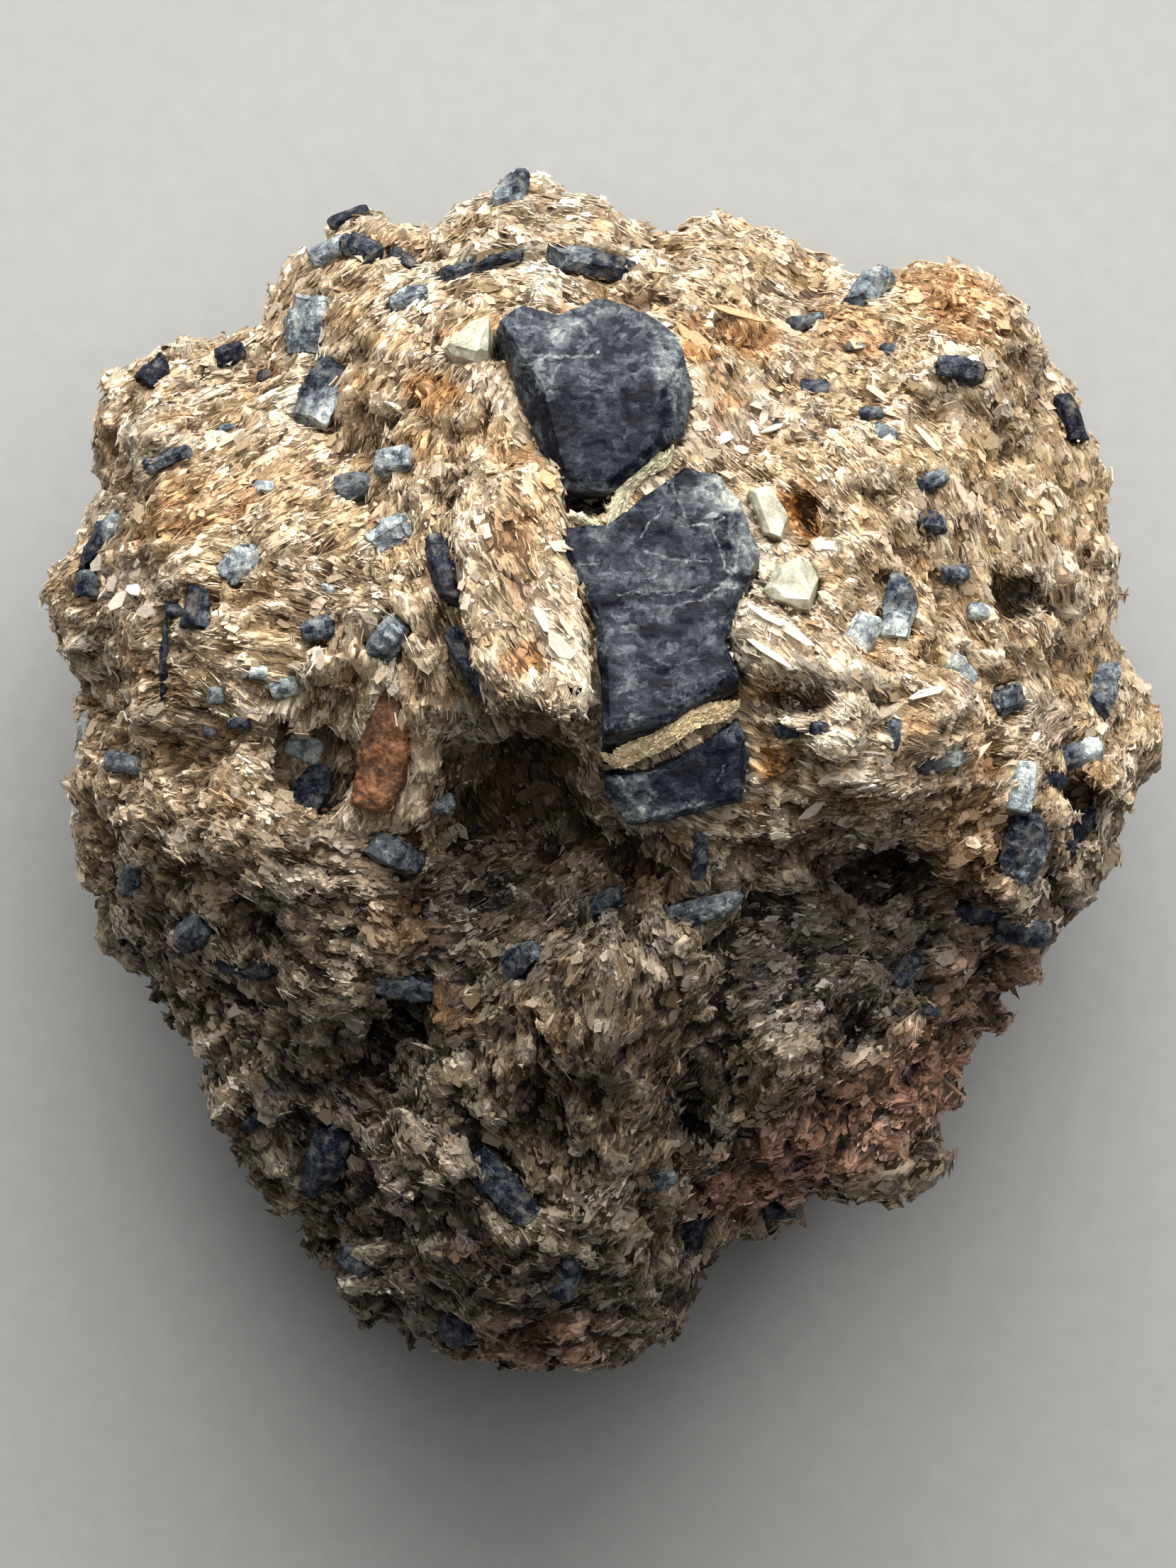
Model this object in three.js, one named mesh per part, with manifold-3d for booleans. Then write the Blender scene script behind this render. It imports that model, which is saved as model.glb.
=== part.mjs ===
// Sapphire specimen: a fist-sized lump of golden mica schist that lies on its back,
// with blue-grey sapphires grown through it. Millimetres, +Z up, sapphire face up.
import * as THREE from 'three';
import { mergeVertices } from 'three/addons/utils/BufferGeometryUtils.js';
import { SimplexNoise } from 'three/addons/math/SimplexNoise.js';
import Module from 'manifold-3d';

const wasm = await Module();
wasm.setup();

// Driving dimensions of the stone
const RIM_HEIGHT = 24;
const RIM_WANDER = 5;
const DOME = { rise: 26, flatness: 2.2, fullness: 0.62 };
const UNDERSIDE = { depth: 28, flatness: 3, fullness: 0.6 };
const WEAR = 0.6;
const SWELL_FADE = 3.5;

// How finely the stone is made: the split of a round ball, the share of it that becomes the
// underside, and the steps of its outline
const STONE_DETAIL = 12;
const UNDERSIDE_SHARE = 0.24;
const RIM_STEPS = 150;
const POINTS_PER_STEP = 20;

// The gap round each crystal in its socket, the longest barrel with no waist, and the height
// at which a slanting line towards the rim passes its crystal's place
const SOCKET_GAP = 0.3;
const SHORT_BARREL = 3.5;
const SHOULDER_HEIGHT = 30;
const FAR_AWAY = 120;

// Sizes of the broken texture: blocks with flat tops, then waves of two lengths
const BLOCK = { size: 9, step: 1.5, lean: 0.32, shift: 0.5 };
const LUMP_ROUGHNESS = 0.2;
const LUMP_REACH = 1.08;
const LONG_WAVE = { length: 17, height: 0.9 };
const SHORT_WAVE = { length: 6, height: 0.45 };

// The widest outline of the stone, seen from above
const OUTLINE = [
  [-6.5, 47.5], [-2.5, 45.5], [3, 45.5], [8.5, 44.5], [14, 42.5], [18, 40], [21.5, 40.5], [29, 40.5],
  [34, 39], [35.5, 34.5], [39, 28], [40, 22.5], [40.5, 16], [42, 11], [44, 3], [42, -2], [40.5, -5.5],
  [38, -10], [32.5, -17.5], [28, -22.5], [25.5, -28], [21, -32], [14, -35], [9, -37], [5, -39],
  [5, -44], [0, -46.5], [-6, -47.5], [-14, -44.5], [-18.5, -42.5], [-19.5, -39.5], [-23, -36],
  [-26.5, -32], [-29, -26], [-33.5, -18.5], [-39, -13.5], [-41, -7.5], [-42, -2.5], [-42, 1],
  [-40.5, 7], [-43, 12], [-44, 16], [-41, 22.5], [-39.5, 30.5], [-36, 34.5], [-31.5, 35], [-26, 39],
  [-24, 42], [-20, 45], [-14.5, 44], [-9.5, 46.5],
];

// Broad swells and dips of the face: middle, reach along and across, turn in degrees, rise
const SWELLS = [
  { x: 1, y: 9, along: 19, across: 16, turn: 0, rise: 5.5 },
  { x: 0, y: 31, along: 11, across: 9, turn: 0, rise: 3 },
  { x: -7, y: 20, along: 6, across: 4.5, turn: 80, rise: 2.5 },
  { x: -30, y: 12, along: 12, across: 9, turn: 10, rise: 2.5 },
  { x: 22, y: 3, along: 11, across: 7, turn: -15, rise: 5 },
  { x: 31, y: 36, along: 8, across: 5, turn: -25, rise: 4 },
  { x: 2, y: -20, along: 12, across: 5, turn: 100, rise: 6 },
  { x: 15, y: -22, along: 6, across: 4, turn: 30, rise: 4 },
  { x: -31, y: -4, along: 10, across: 6, turn: 110, rise: 2.5 },
  { x: -8, y: -40, along: 10, across: 6, turn: 10, rise: 4 },
  { x: 36, y: 1, along: 5, across: 8, turn: 0, rise: 3 },
  { x: -7, y: -4, along: 8, across: 8, turn: 0, rise: -9 },
  { x: -17, y: -20, along: 14, across: 4.5, turn: 50, rise: -6 },
  { x: -22, y: 2, along: 4.5, across: 4, turn: 0, rise: -4.5 },
  { x: 8, y: -28, along: 7, across: 3, turn: 60, rise: -5 },
  { x: 22, y: -9, along: 9, across: 4, turn: -10, rise: -4 },
  { x: 20, y: -33, along: 9, across: 5, turn: 35, rise: -5 },
  { x: 12, y: 30, along: 4, across: 3, turn: 80, rise: -1.8 },
  { x: -14, y: 33, along: 4.5, across: 3, turn: 20, rise: -2 },
];

// Lumps joined to the face and its edge: middle, half sizes, turn in degrees
const LUMPS = [
  { at: [-27, -4, 42.5], half: [5, 4, 4], turn: 30 },
  { at: [-33, 6, 37.5], half: [5, 4, 5], turn: -20 },
  { at: [-12, -29, 39], half: [5, 4, 4], turn: 10 },
  { at: [4, -13, 48.5], half: [4, 5, 4], turn: 15 },
  { at: [17, -18, 43.5], half: [5, 3.5, 4], turn: 40 },
  { at: [24, 6, 49], half: [6, 4, 4], turn: -30 },
  { at: [30.5, 35.5, 31], half: [5, 3, 5], turn: -25 },
  { at: [29.5, -5.5, 38.5], half: [4, 5, 5], turn: 60 },
  { at: [-33.5, 25.5, 34], half: [4, 5, 4], turn: 25 },
];

// Hollows cut into the face, under the ledges: middle, half sizes, turn in degrees
const HOLLOWS = [
  { at: [-6, -3, 46], half: [7, 7.5, 8], turn: 20 },
  { at: [1, -6.5, 47], half: [5.5, 3.5, 5], turn: 5 },
  { at: [-22, 1, 43], half: [3.5, 4.5, 4], turn: 10 },
  { at: [-17, -21, 38], half: [3, 7.5, 5], turn: -35 },
  { at: [22, -7.5, 42], half: [5.5, 2.6, 5], turn: -10 },
  { at: [32.5, 15, 41], half: [2.6, 2.8, 4.5], turn: 0 },
  { at: [7.5, -27, 40], half: [2, 4, 5], turn: -20 },
  { at: [37.5, -2.5, 33], half: [3, 4, 5], turn: 25 },
  { at: [15.5, 21, 48.5], half: [2.2, 2.4, 3], turn: 0 },
  { at: [-1.2, 21.6, 50.5], half: [2.6, 2, 4.5], turn: 0 },
  { at: [-24, -28, 31], half: [3, 4, 4], turn: 20 },
];

// Slabs of mica that stand over the face, with steep broken edges
const SLABS = [
  {
    outline: [[-7.5, 24.5], [-4.6, 23.5], [-3.6, 18], [-2, 12.5], [-1.4, 3.4], [-4, 6.5], [-8.5, 6.5],
      [-10.5, 13], [-11.5, 19.5]],
    top: 56.6, thick: 9, lean: [-20, -4],
  },
  {
    outline: [[10.8, 14], [15, 13], [21.5, 8], [19, 3], [14, 4], [12, 8.5]],
    top: 55.6, thick: 8, lean: [-10, 12],
  },
  {
    outline: [[26, -19], [24, -22], [18, -24], [14, -28], [9, -31], [5, -35], [2, -30], [8, -22], [18, -17]],
    top: 40, thick: 7, lean: [26, 12],
  },
];

// The three large sapphires: outline from above, height of the front face, thickness, bevel, lean,
// and the slanting faces that cut their ends, each by a point on it and the way it faces
const LARGE_SAPPHIRES = [
  {
    name: 'upper_sapphire',
    outline: [[-7.9, 36.8], [-6, 38.2], [-3, 37.3], [0, 39], [3.6, 37.6], [6, 35.5], [7.3, 31],
      [6.4, 27.6], [3, 24.6], [0.7, 22.6], [-2.8, 22.8], [-4.6, 26], [-6.2, 30.5]],
    face: 51.8, thick: 14, bevel: 0.7, lean: [-12, 2],
    facets: [
      { through: [0, 31.5, 51.4], facing: [0.05, 0.62, 0.78] },
      { through: [4.6, 29.5, 52], facing: [0.72, 0.1, 0.69] },
      { through: [-4.2, 29, 52.3], facing: [-0.82, -0.1, 0.56] },
    ],
  },
  {
    name: 'middle_sapphire',
    outline: [[-3, 18.3], [-2.6, 20.3], [1, 20.6], [4, 23.2], [6.5, 25.2], [9, 24.4], [10.7, 22.6],
      [12.4, 18.6], [11.2, 15.6], [10.2, 13], [9.6, 11], [10.7, 8], [8, 6.3], [5, 4.4], [0.2, 3.4],
      [0, 8.5], [-0.5, 12.5], [-1.6, 15.6]],
    face: 56.7, thick: 9, bevel: 0.5, lean: [-17, 1],
    facets: [{ through: [9.6, 20, 55], facing: [0.55, 0.3, 0.78] }],
  },
  {
    name: 'lower_sapphire',
    outline: [[0.3, 0.4], [3.8, 0.8], [7.4, 2.7], [10.6, 4.7], [11.4, 2], [10.9, -1.5], [6.5, -2.6],
      [2.4, -3.4], [0.5, -1.2]],
    face: 57.6, thick: 8, bevel: 0.5, lean: [5, 1],
    facets: [{ through: [2.2, -1.8, 57.2], facing: [-0.5, -0.5, 0.7] }],
  },
];

// Feldspar chunks and the orange-brown plate: same values as the large sapphires
const CHUNKS = [
  {
    name: 'feldspar_left',
    outline: [[-12.6, 35], [-10.6, 36.6], [-9, 37.2], [-8.8, 33.6], [-9.6, 33], [-11.6, 33.6]],
    face: 45.4, thick: 6, bevel: 0.6, lean: [-24, -6], kind: 'feldspar',
  },
  {
    name: 'feldspar_right_upper',
    outline: [[11.6, 23], [13.4, 23.4], [15.2, 20.4], [13.9, 18.6], [12.9, 18.9]],
    face: 49.6, thick: 5, bevel: 0.4, lean: [-12, 6], kind: 'feldspar',
  },
  {
    name: 'feldspar_right_lower',
    outline: [[13.8, 17.2], [16.8, 17.8], [17.8, 15.6], [16.4, 13.6], [14, 13.8], [12.6, 15.2]],
    face: 52.2, thick: 6, bevel: 0.6, lean: [-16, 8], kind: 'feldspar',
  },
  {
    name: 'brown_plate',
    outline: [[-16.6, 8], [-15.4, 8.2], [-15, 3.6], [-15.5, -0.5], [-17, -2.6], [-20, -2], [-19, 2.5],
      [-18, 4.8]],
    face: 49, thick: 5, bevel: 0.4, lean: [12, -10], kind: 'brown',
  },
];

// Smaller sapphires, by the part of the stone where they sit. Each has its place seen from
// above, its length, width and thickness, its turn and the rise of its far end in degrees,
// and how much of its thickness stands out of the schist.
const FACE_CRYSTALS = {
  top_edge: [
    { x: -7, y: 45, size: [5, 2.2, 2], turn: 65, rise: 5, proud: 1.2, slant: 40 },
    { x: -1.5, y: 41, size: [8.4, 2.4, 2.2], turn: -2, rise: 0, proud: 1.2 },
    { x: -9.8, y: 40.6, size: [7.6, 1.6, 1.8], turn: 2, rise: 0, proud: 0.9 },
    { x: -15.4, y: 38, size: [3.6, 2, 2], turn: 20, rise: 0, proud: 0.9 },
    { x: -19.4, y: 43.4, size: [4.4, 2.4, 2.4], turn: -45, rise: 0, proud: 1.6, slant: 55 },
    { x: 21, y: 38.6, size: [5.2, 3, 2.6], turn: 50, rise: 5, proud: 1.4 },
  ],
  left_slope: [
    { x: -23.2, y: 36.4, size: [5.4, 5, 2.8], turn: 80, rise: 0, proud: 1.2 },
    { x: -22.2, y: 30.6, size: [6, 4.4, 2.8], turn: 65, rise: 0, proud: 1.2 },
    { x: -30.4, y: 35, size: [2.4, 2, 2], turn: 20, rise: 0, proud: 1.4, slant: 55 },
    { x: -36.4, y: 33.6, size: [2.6, 2.2, 2.2], turn: 40, rise: 0, proud: 1.6, slant: 55 },
    { x: -34, y: 25.4, size: [3.8, 1.6, 1.6], turn: 25, rise: 0, proud: 0.8 },
    { x: -19, y: 23.2, size: [2.9, 2.7, 2.6], turn: 0, rise: 20, proud: 1.7 },
    { x: -16.3, y: 19.2, size: [3.6, 2.8, 2.8], turn: 15, rise: 15, proud: 1.8 },
    { x: -39.2, y: 18.8, size: [5.6, 1.9, 2], turn: 30, rise: 0, proud: 1.1, slant: 30 },
    { x: -31.6, y: 13.6, size: [3.2, 2.6, 2.4], turn: 80, rise: 0, proud: 1.2 },
    { x: -28.1, y: 17.3, size: [3.6, 3.2, 2.6], turn: 30, rise: 10, proud: 1.3 },
  ],
  slab_edge: [
    { x: -12, y: 16.2, size: [6.8, 2.4, 2.4], turn: -75, rise: 0, proud: 1.6 },
    { x: -9.9, y: 9, size: [6.8, 2.2, 2.4], turn: -58, rise: 0, proud: 1.6 },
    { x: -16.6, y: 11.4, size: [3.6, 2.9, 2.8], turn: 60, rise: 0, proud: 1.4 },
  ],
  left_rim: [
    { x: -38, y: -7.5, size: [3.4, 2.4, 2.2], turn: 70, rise: 0, proud: 1.2, slant: 40 },
    { x: -32, y: -11.6, size: [4, 3, 2.6], turn: 60, rise: 5, proud: 1.4 },
    { x: -27.8, y: -14.4, size: [5.4, 1.8, 2], turn: 10, rise: 0, proud: 1 },
  ],
  hollow: [
    { x: -22.8, y: -0.8, size: [4.6, 3.4, 3], turn: 70, rise: 10, proud: 1.8 },
    { x: -16.2, y: -5.4, size: [4.6, 2.6, 2.4], turn: -25, rise: 5, proud: 1.4 },
    { x: -5.8, y: -13.8, size: [3.4, 3.2, 2.6], turn: 0, rise: 10, proud: 1.6 },
    { x: 7.2, y: -9.8, size: [7.6, 2.3, 2.3], turn: 15, rise: 6, proud: 1.7 },
    { x: -15.4, y: -15.9, size: [5.6, 2.8, 2.6], turn: -5, rise: 0, proud: 1.2 },
  ],
  valley: [
    { x: -21.4, y: -29.2, size: [7.4, 4.2, 3.4], turn: 65, rise: 0, proud: 1.9 },
    { x: -7.9, y: -31.5, size: [8.2, 3.2, 3], turn: -45, rise: 0, proud: 1.6 },
    { x: -10.8, y: -42.6, size: [4.4, 3.6, 3.2], turn: 60, rise: 0, proud: 1.6, slant: 40 },
  ],
  right_slope: [
    { x: 28.2, y: 32.4, size: [4.8, 2.2, 2.2], turn: -10, rise: 0, proud: 1.3 },
    { x: 25.7, y: 23.6, size: [2.6, 1.7, 1.7], turn: 25, rise: 0, proud: 1 },
    { x: 25.7, y: 20.4, size: [2.6, 2, 1.9], turn: 0, rise: 0, proud: 1.1 },
    { x: 23.1, y: 13.8, size: [5.2, 3, 2.8], turn: 85, rise: 5, proud: 1.7 },
    { x: 31.5, y: 6.4, size: [3.1, 2.8, 2.4], turn: 30, rise: 10, proud: 1.5 },
    { x: 26, y: 2, size: [4.2, 2.2, 2.2], turn: 15, rise: 5, proud: 1.4 },
  ],
  right_rim: [
    { x: 37.8, y: 29.4, size: [4.6, 2.2, 2.2], turn: -65, rise: 0, proud: 1.6, slant: 55 },
    { x: 39.6, y: 7.2, size: [6.4, 2.7, 2.6], turn: 70, rise: 0, proud: 1.7, slant: 40 },
    { x: 33, y: -5, size: [5.4, 4.4, 3.6], turn: 80, rise: 5, proud: 2.1 },
    { x: 30, y: -10, size: [4, 2, 2], turn: 10, rise: 0, proud: 1.2 },
  ],
};

// Sapphires of the sides and the back, by compass direction and elevation from the middle
const SIDE_CRYSTALS = [
  { compass: 20, elevation: -14, size: [6, 3, 2.6], turn: 30, proud: 1.3 },
  { compass: 160, elevation: -20, size: [5, 3, 2.6], turn: -40, proud: 1.3 },
  { compass: 275, elevation: -16, size: [5.6, 2.6, 2.4], turn: 10, proud: 1.2 },
  { compass: 85, elevation: -12, size: [6.4, 3.2, 2.8], turn: 60, proud: 1.4 },
];

// A small random-number maker with a fixed start, so the stone is the same every time
function seededRandom(seed) {
  let state = seed;
  return () => {
    state = (state * 1664525 + 1013904223) % 4294967296;
    return state / 4294967296;
  };
}

const noise = new SimplexNoise({ random: seededRandom(7) });
const radians = THREE.MathUtils.degToRad;

function ripple(point, wave) {
  return wave.height * noise.noise3d(point.x / wave.length, point.y / wave.length, point.z / wave.length);
}

// One number from -1 to 1 for each cell of a coarse lattice
function cellValue(i, j, k, which) {
  return noise.noise3d(i * 3.71 + which * 17.3, j * 4.13 - which * 9.7, k * 2.97 + 5.1);
}

// Broken blocks: each point takes the level and the lean of its nearest block
function blockStep(point) {
  const cell = point.clone().divideScalar(BLOCK.size).floor();
  let nearest = Infinity;
  let step = 0;
  for (let i = cell.x - 1; i <= cell.x + 1; i++) {
    for (let j = cell.y - 1; j <= cell.y + 1; j++) {
      for (let k = cell.z - 1; k <= cell.z + 1; k++) {
        const heart = new THREE.Vector3(i + 0.5, j + 0.5, k + 0.5);
        heart.x += BLOCK.shift * cellValue(i, j, k, 1);
        heart.y += BLOCK.shift * cellValue(i, j, k, 2);
        heart.z += BLOCK.shift * cellValue(i, j, k, 3);
        heart.multiplyScalar(BLOCK.size);
        const away = point.clone().sub(heart);
        if (away.lengthSq() < nearest) {
          nearest = away.lengthSq();
          const lean = away.x * cellValue(i, j, k, 4) + away.y * cellValue(i, j, k, 5);
          step = BLOCK.step * cellValue(i, j, k, 6) + BLOCK.lean * lean;
        }
      }
    }
  }
  return step;
}

// Distance from the middle to the outline in each direction, from a smooth closed curve
const rimCurve = new THREE.CatmullRomCurve3(
  OUTLINE.map(([x, y]) => new THREE.Vector3(x, y, 0)), true, 'centripetal');
const rimReaches = new Array(RIM_STEPS).fill(0);
for (const place of rimCurve.getPoints(POINTS_PER_STEP * RIM_STEPS)) {
  const step = rimStep(Math.atan2(place.y, place.x)) % RIM_STEPS;
  rimReaches[Math.floor(step)] = Math.max(rimReaches[Math.floor(step)], place.length());
}

function rimStep(turn) {
  return RIM_STEPS * (turn / (2 * Math.PI) + 1);
}

function rimReach(turn) {
  const step = rimStep(turn) - 0.5;
  const low = Math.floor(step);
  const next = step - low;
  return (1 - next) * rimReaches[low % RIM_STEPS] + next * rimReaches[(low + 1) % RIM_STEPS];
}

// The widest line of the stone wanders up and down a little
function rimWander(turn) {
  return RIM_WANDER * noise.noise(1.3 * Math.cos(turn), 1.3 * Math.sin(turn));
}

function swellAt(x, y) {
  let rise = 0;
  for (const swell of SWELLS) {
    const turn = radians(swell.turn);
    const dx = x - swell.x;
    const dy = y - swell.y;
    const along = (dx * Math.cos(turn) + dy * Math.sin(turn)) / swell.along;
    const across = (dy * Math.cos(turn) - dx * Math.sin(turn)) / swell.across;
    rise += swell.rise * Math.exp(-(along * along + across * across));
  }
  return rise;
}

// Moves one point of a unit ball onto the broken stone
function stonePoint(direction) {
  const turn = Math.atan2(direction.y, direction.x);
  const share = (1 + direction.z) / 2;
  const under = share < UNDERSIDE_SHARE;
  const fromPole = under ? share / UNDERSIDE_SHARE : (1 - share) / (1 - UNDERSIDE_SHARE);
  const angle = Math.sqrt(fromPole) * Math.PI / 2;
  const outward = Math.sin(angle);
  const reach = rimReach(turn) * outward;
  const point = new THREE.Vector3(reach * Math.cos(turn), reach * Math.sin(turn), RIM_HEIGHT);
  point.z += rimWander(turn) * outward * outward;
  if (under) {
    const inward = 1 - Math.pow(outward, UNDERSIDE.flatness);
    point.z -= UNDERSIDE.depth * Math.pow(inward, UNDERSIDE.fullness);
  } else {
    const inward = 1 - Math.pow(outward, DOME.flatness);
    point.z += DOME.rise * Math.pow(inward, DOME.fullness);
    point.z += swellAt(point.x, point.y) * Math.min(1, SWELL_FADE * inward);
  }
  const away = new THREE.Vector3(point.x, point.y, 1.4 * (point.z - RIM_HEIGHT)).normalize();
  const roughness = blockStep(point) + ripple(point, LONG_WAVE) + ripple(point, SHORT_WAVE);
  return point.addScaledVector(away, roughness - WEAR);
}

// Joins the shared corners of a geometry and drops the empty triangles at its poles
function closed(geometry) {
  geometry.deleteAttribute('normal');
  geometry.deleteAttribute('uv');
  const merged = mergeVertices(geometry, 1e-4);
  const corners = merged.index.array;
  const kept = [];
  for (let i = 0; i < corners.length; i += 3) {
    const [a, b, c] = [corners[i], corners[i + 1], corners[i + 2]];
    if (a !== b && b !== c && c !== a) kept.push(a, b, c);
  }
  merged.setIndex(kept);
  return merged;
}

// Turns a closed geometry into a solid that can be joined and cut
function solidOf(geometry) {
  return new wasm.Manifold(new wasm.Mesh({
    numProp: 3,
    vertProperties: new Float32Array(geometry.attributes.position.array),
    triVerts: new Uint32Array(geometry.index.array),
  }));
}

function geometryOf(solid) {
  const mesh = solid.getMesh();
  const geometry = new THREE.BufferGeometry();
  geometry.setAttribute('position', new THREE.BufferAttribute(mesh.vertProperties, 3));
  geometry.setIndex(new THREE.BufferAttribute(mesh.triVerts, 1));
  return geometry;
}

function makeStone() {
  const geometry = closed(new THREE.IcosahedronGeometry(1, STONE_DETAIL));
  const places = geometry.attributes.position;
  for (let i = 0; i < places.count; i++) {
    const moved = stonePoint(new THREE.Vector3().fromBufferAttribute(places, i).normalize());
    places.setXYZ(i, moved.x, moved.y, moved.z);
  }
  return geometry;
}

// A rough rounded block, used for the lumps and the hollows
function roughBlock({ at, half, turn }) {
  const geometry = closed(new THREE.DodecahedronGeometry(LUMP_REACH));
  const places = geometry.attributes.position;
  const middle = new THREE.Vector3(...at);
  for (let i = 0; i < places.count; i++) {
    const place = new THREE.Vector3().fromBufferAttribute(places, i);
    place.multiplyScalar(1 + LUMP_ROUGHNESS * noise.noise3d(place.x + at[0], place.y + at[1], place.z));
    place.multiply(new THREE.Vector3(...half));
    place.applyAxisAngle(new THREE.Vector3(0, 0, 1), radians(turn)).add(middle);
    places.setXYZ(i, place.x, place.y, place.z);
  }
  return geometry;
}

// A plate with the given outline, whose bevelled front face looks up and leans as told
function plate({ outline, thick, bevel = 0, grow = 0, lean, face }) {
  const shape = new THREE.Shape(outline.map(([x, y]) => new THREE.Vector2(x, y)));
  const middle = new THREE.Vector2();
  outline.forEach(([x, y]) => middle.add(new THREE.Vector2(x, y)));
  middle.divideScalar(outline.length);
  const geometry = closed(new THREE.ExtrudeGeometry(shape, {
    depth: thick - 2 * bevel,
    bevelEnabled: bevel + grow > 0,
    bevelThickness: bevel + grow,
    bevelSize: bevel + grow,
    bevelOffset: -bevel,
    bevelSegments: 1,
  }));
  geometry.translate(-middle.x, -middle.y, bevel - thick);
  geometry.rotateX(radians(lean[0]));
  geometry.rotateY(radians(lean[1]));
  geometry.translate(middle.x, middle.y, face);
  return geometry;
}

// Takes off what lies in front of a slanting plane
function cutFacet(solid, { through, facing }) {
  const block = closed(new THREE.BoxGeometry(60, 60, 30));
  block.translate(0, 0, 15);
  const turn = new THREE.Quaternion().setFromUnitVectors(
    new THREE.Vector3(0, 0, 1), new THREE.Vector3(...facing).normalize());
  block.applyQuaternion(turn);
  block.translate(...through);
  return solid.subtract(solidOf(block));
}

// A six-sided sapphire barrel that lies along +X with a flat side up, its middle at the origin
function barrel([length, width, thick]) {
  const half = length / 2;
  const waist = length > SHORT_BARREL ? [new THREE.Vector2(0.5, 0.1 * half)] : [];
  const profile = [
    new THREE.Vector2(0, -half),
    new THREE.Vector2(waist.length ? 0.38 : 0.5, -half),
    ...waist,
    new THREE.Vector2(0.34, half),
    new THREE.Vector2(0, half),
  ];
  const geometry = closed(new THREE.LatheGeometry(profile, 6, Math.PI / 6));
  geometry.rotateZ(-Math.PI / 2);
  geometry.scale(1, width, thick);
  return geometry;
}

let stone = solidOf(makeStone());
for (const lump of LUMPS) stone = stone.add(solidOf(roughBlock(lump)));
for (const slab of SLABS) stone = stone.add(solidOf(plate({ ...slab, face: slab.top })));
for (const hollow of HOLLOWS) stone = stone.subtract(solidOf(roughBlock(hollow)));

const stoneProbe = new THREE.Mesh(geometryOf(stone));
const raycaster = new THREE.Raycaster();

// Where a line towards the stone first meets it, if it does
function surfaceHit(from, towards) {
  raycaster.set(from, towards);
  return raycaster.intersectObject(stoneProbe)[0];
}

// The mean surface round a place, so that one small facet doesn't turn a crystal
function restingPlace(from, towards, reach) {
  const side = new THREE.Vector3(0, 0, 1).cross(towards);
  if (side.lengthSq() < 0.01) side.set(1, 0, 0);
  side.normalize();
  const other = side.clone().cross(towards);
  const point = new THREE.Vector3();
  const facing = new THREE.Vector3();
  let hits = 0;
  for (const [a, b] of [[0, 0], [reach, 0], [-reach, 0], [0, reach], [0, -reach]]) {
    const hit = surfaceHit(from.clone().addScaledVector(side, a).addScaledVector(other, b), towards);
    if (!hit) continue;
    facing.add(hit.face.normal);
    point.add(hit.point);
    hits += 1;
  }
  return { point: point.divideScalar(hits), facing: facing.normalize() };
}

// The matrix that lays a crystal on the stone: facing out, turned, risen and sunk
function layOn({ point, facing }, { size, turn, rise = 0, proud }, eastward) {
  const up = facing.clone();
  const east = eastward.clone().addScaledVector(up, -eastward.dot(up)).normalize();
  const north = up.clone().cross(east);
  const seat = new THREE.Matrix4().makeBasis(east, north, up);
  seat.multiply(new THREE.Matrix4().makeRotationZ(radians(turn)));
  seat.multiply(new THREE.Matrix4().makeRotationY(radians(-rise)));
  const middle = point.clone().addScaledVector(up, proud - size[2] / 2);
  return seat.setPosition(middle);
}

const FINISHES = {
  schist: { color: 0xb8a078, roughness: 0.55, metalness: 0.1 },
  sapphire: { color: 0x4a5a86, roughness: 0.3, metalness: 0 },
  feldspar: { color: 0xd6d2b8, roughness: 0.5, metalness: 0 },
  brown: { color: 0x9a6236, roughness: 0.6, metalness: 0 },
};

const specimen = new THREE.Group();

function addPiece(name, geometry, kind) {
  const material = new THREE.MeshStandardMaterial({ ...FINISHES[kind], flatShading: true });
  const mesh = new THREE.Mesh(geometry, material);
  mesh.name = name;
  specimen.add(mesh);
}

// The large pieces, each in a socket of its own shape
for (const piece of LARGE_SAPPHIRES.concat(CHUNKS)) {
  const body = (piece.facets ?? []).reduce(cutFacet, solidOf(plate(piece)));
  addPiece(piece.name, geometryOf(body), piece.kind ?? 'sapphire');
  stone = stone.subtract(solidOf(plate({ ...piece, grow: SOCKET_GAP })));
}

// A plain square socket that clears a barrel all round
function socket([length, width, thick]) {
  const gap = 2 * SOCKET_GAP;
  return closed(new THREE.BoxGeometry(length + gap, width + gap, thick + gap));
}

function setCrystal(name, crystal, from, towards, eastward) {
  const seat = layOn(restingPlace(from, towards, 0.35 * crystal.size[1]), crystal, eastward);
  addPiece(name, barrel(crystal.size).applyMatrix4(seat), 'sapphire');
  stone = stone.subtract(solidOf(socket(crystal.size).applyMatrix4(seat)));
}

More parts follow.
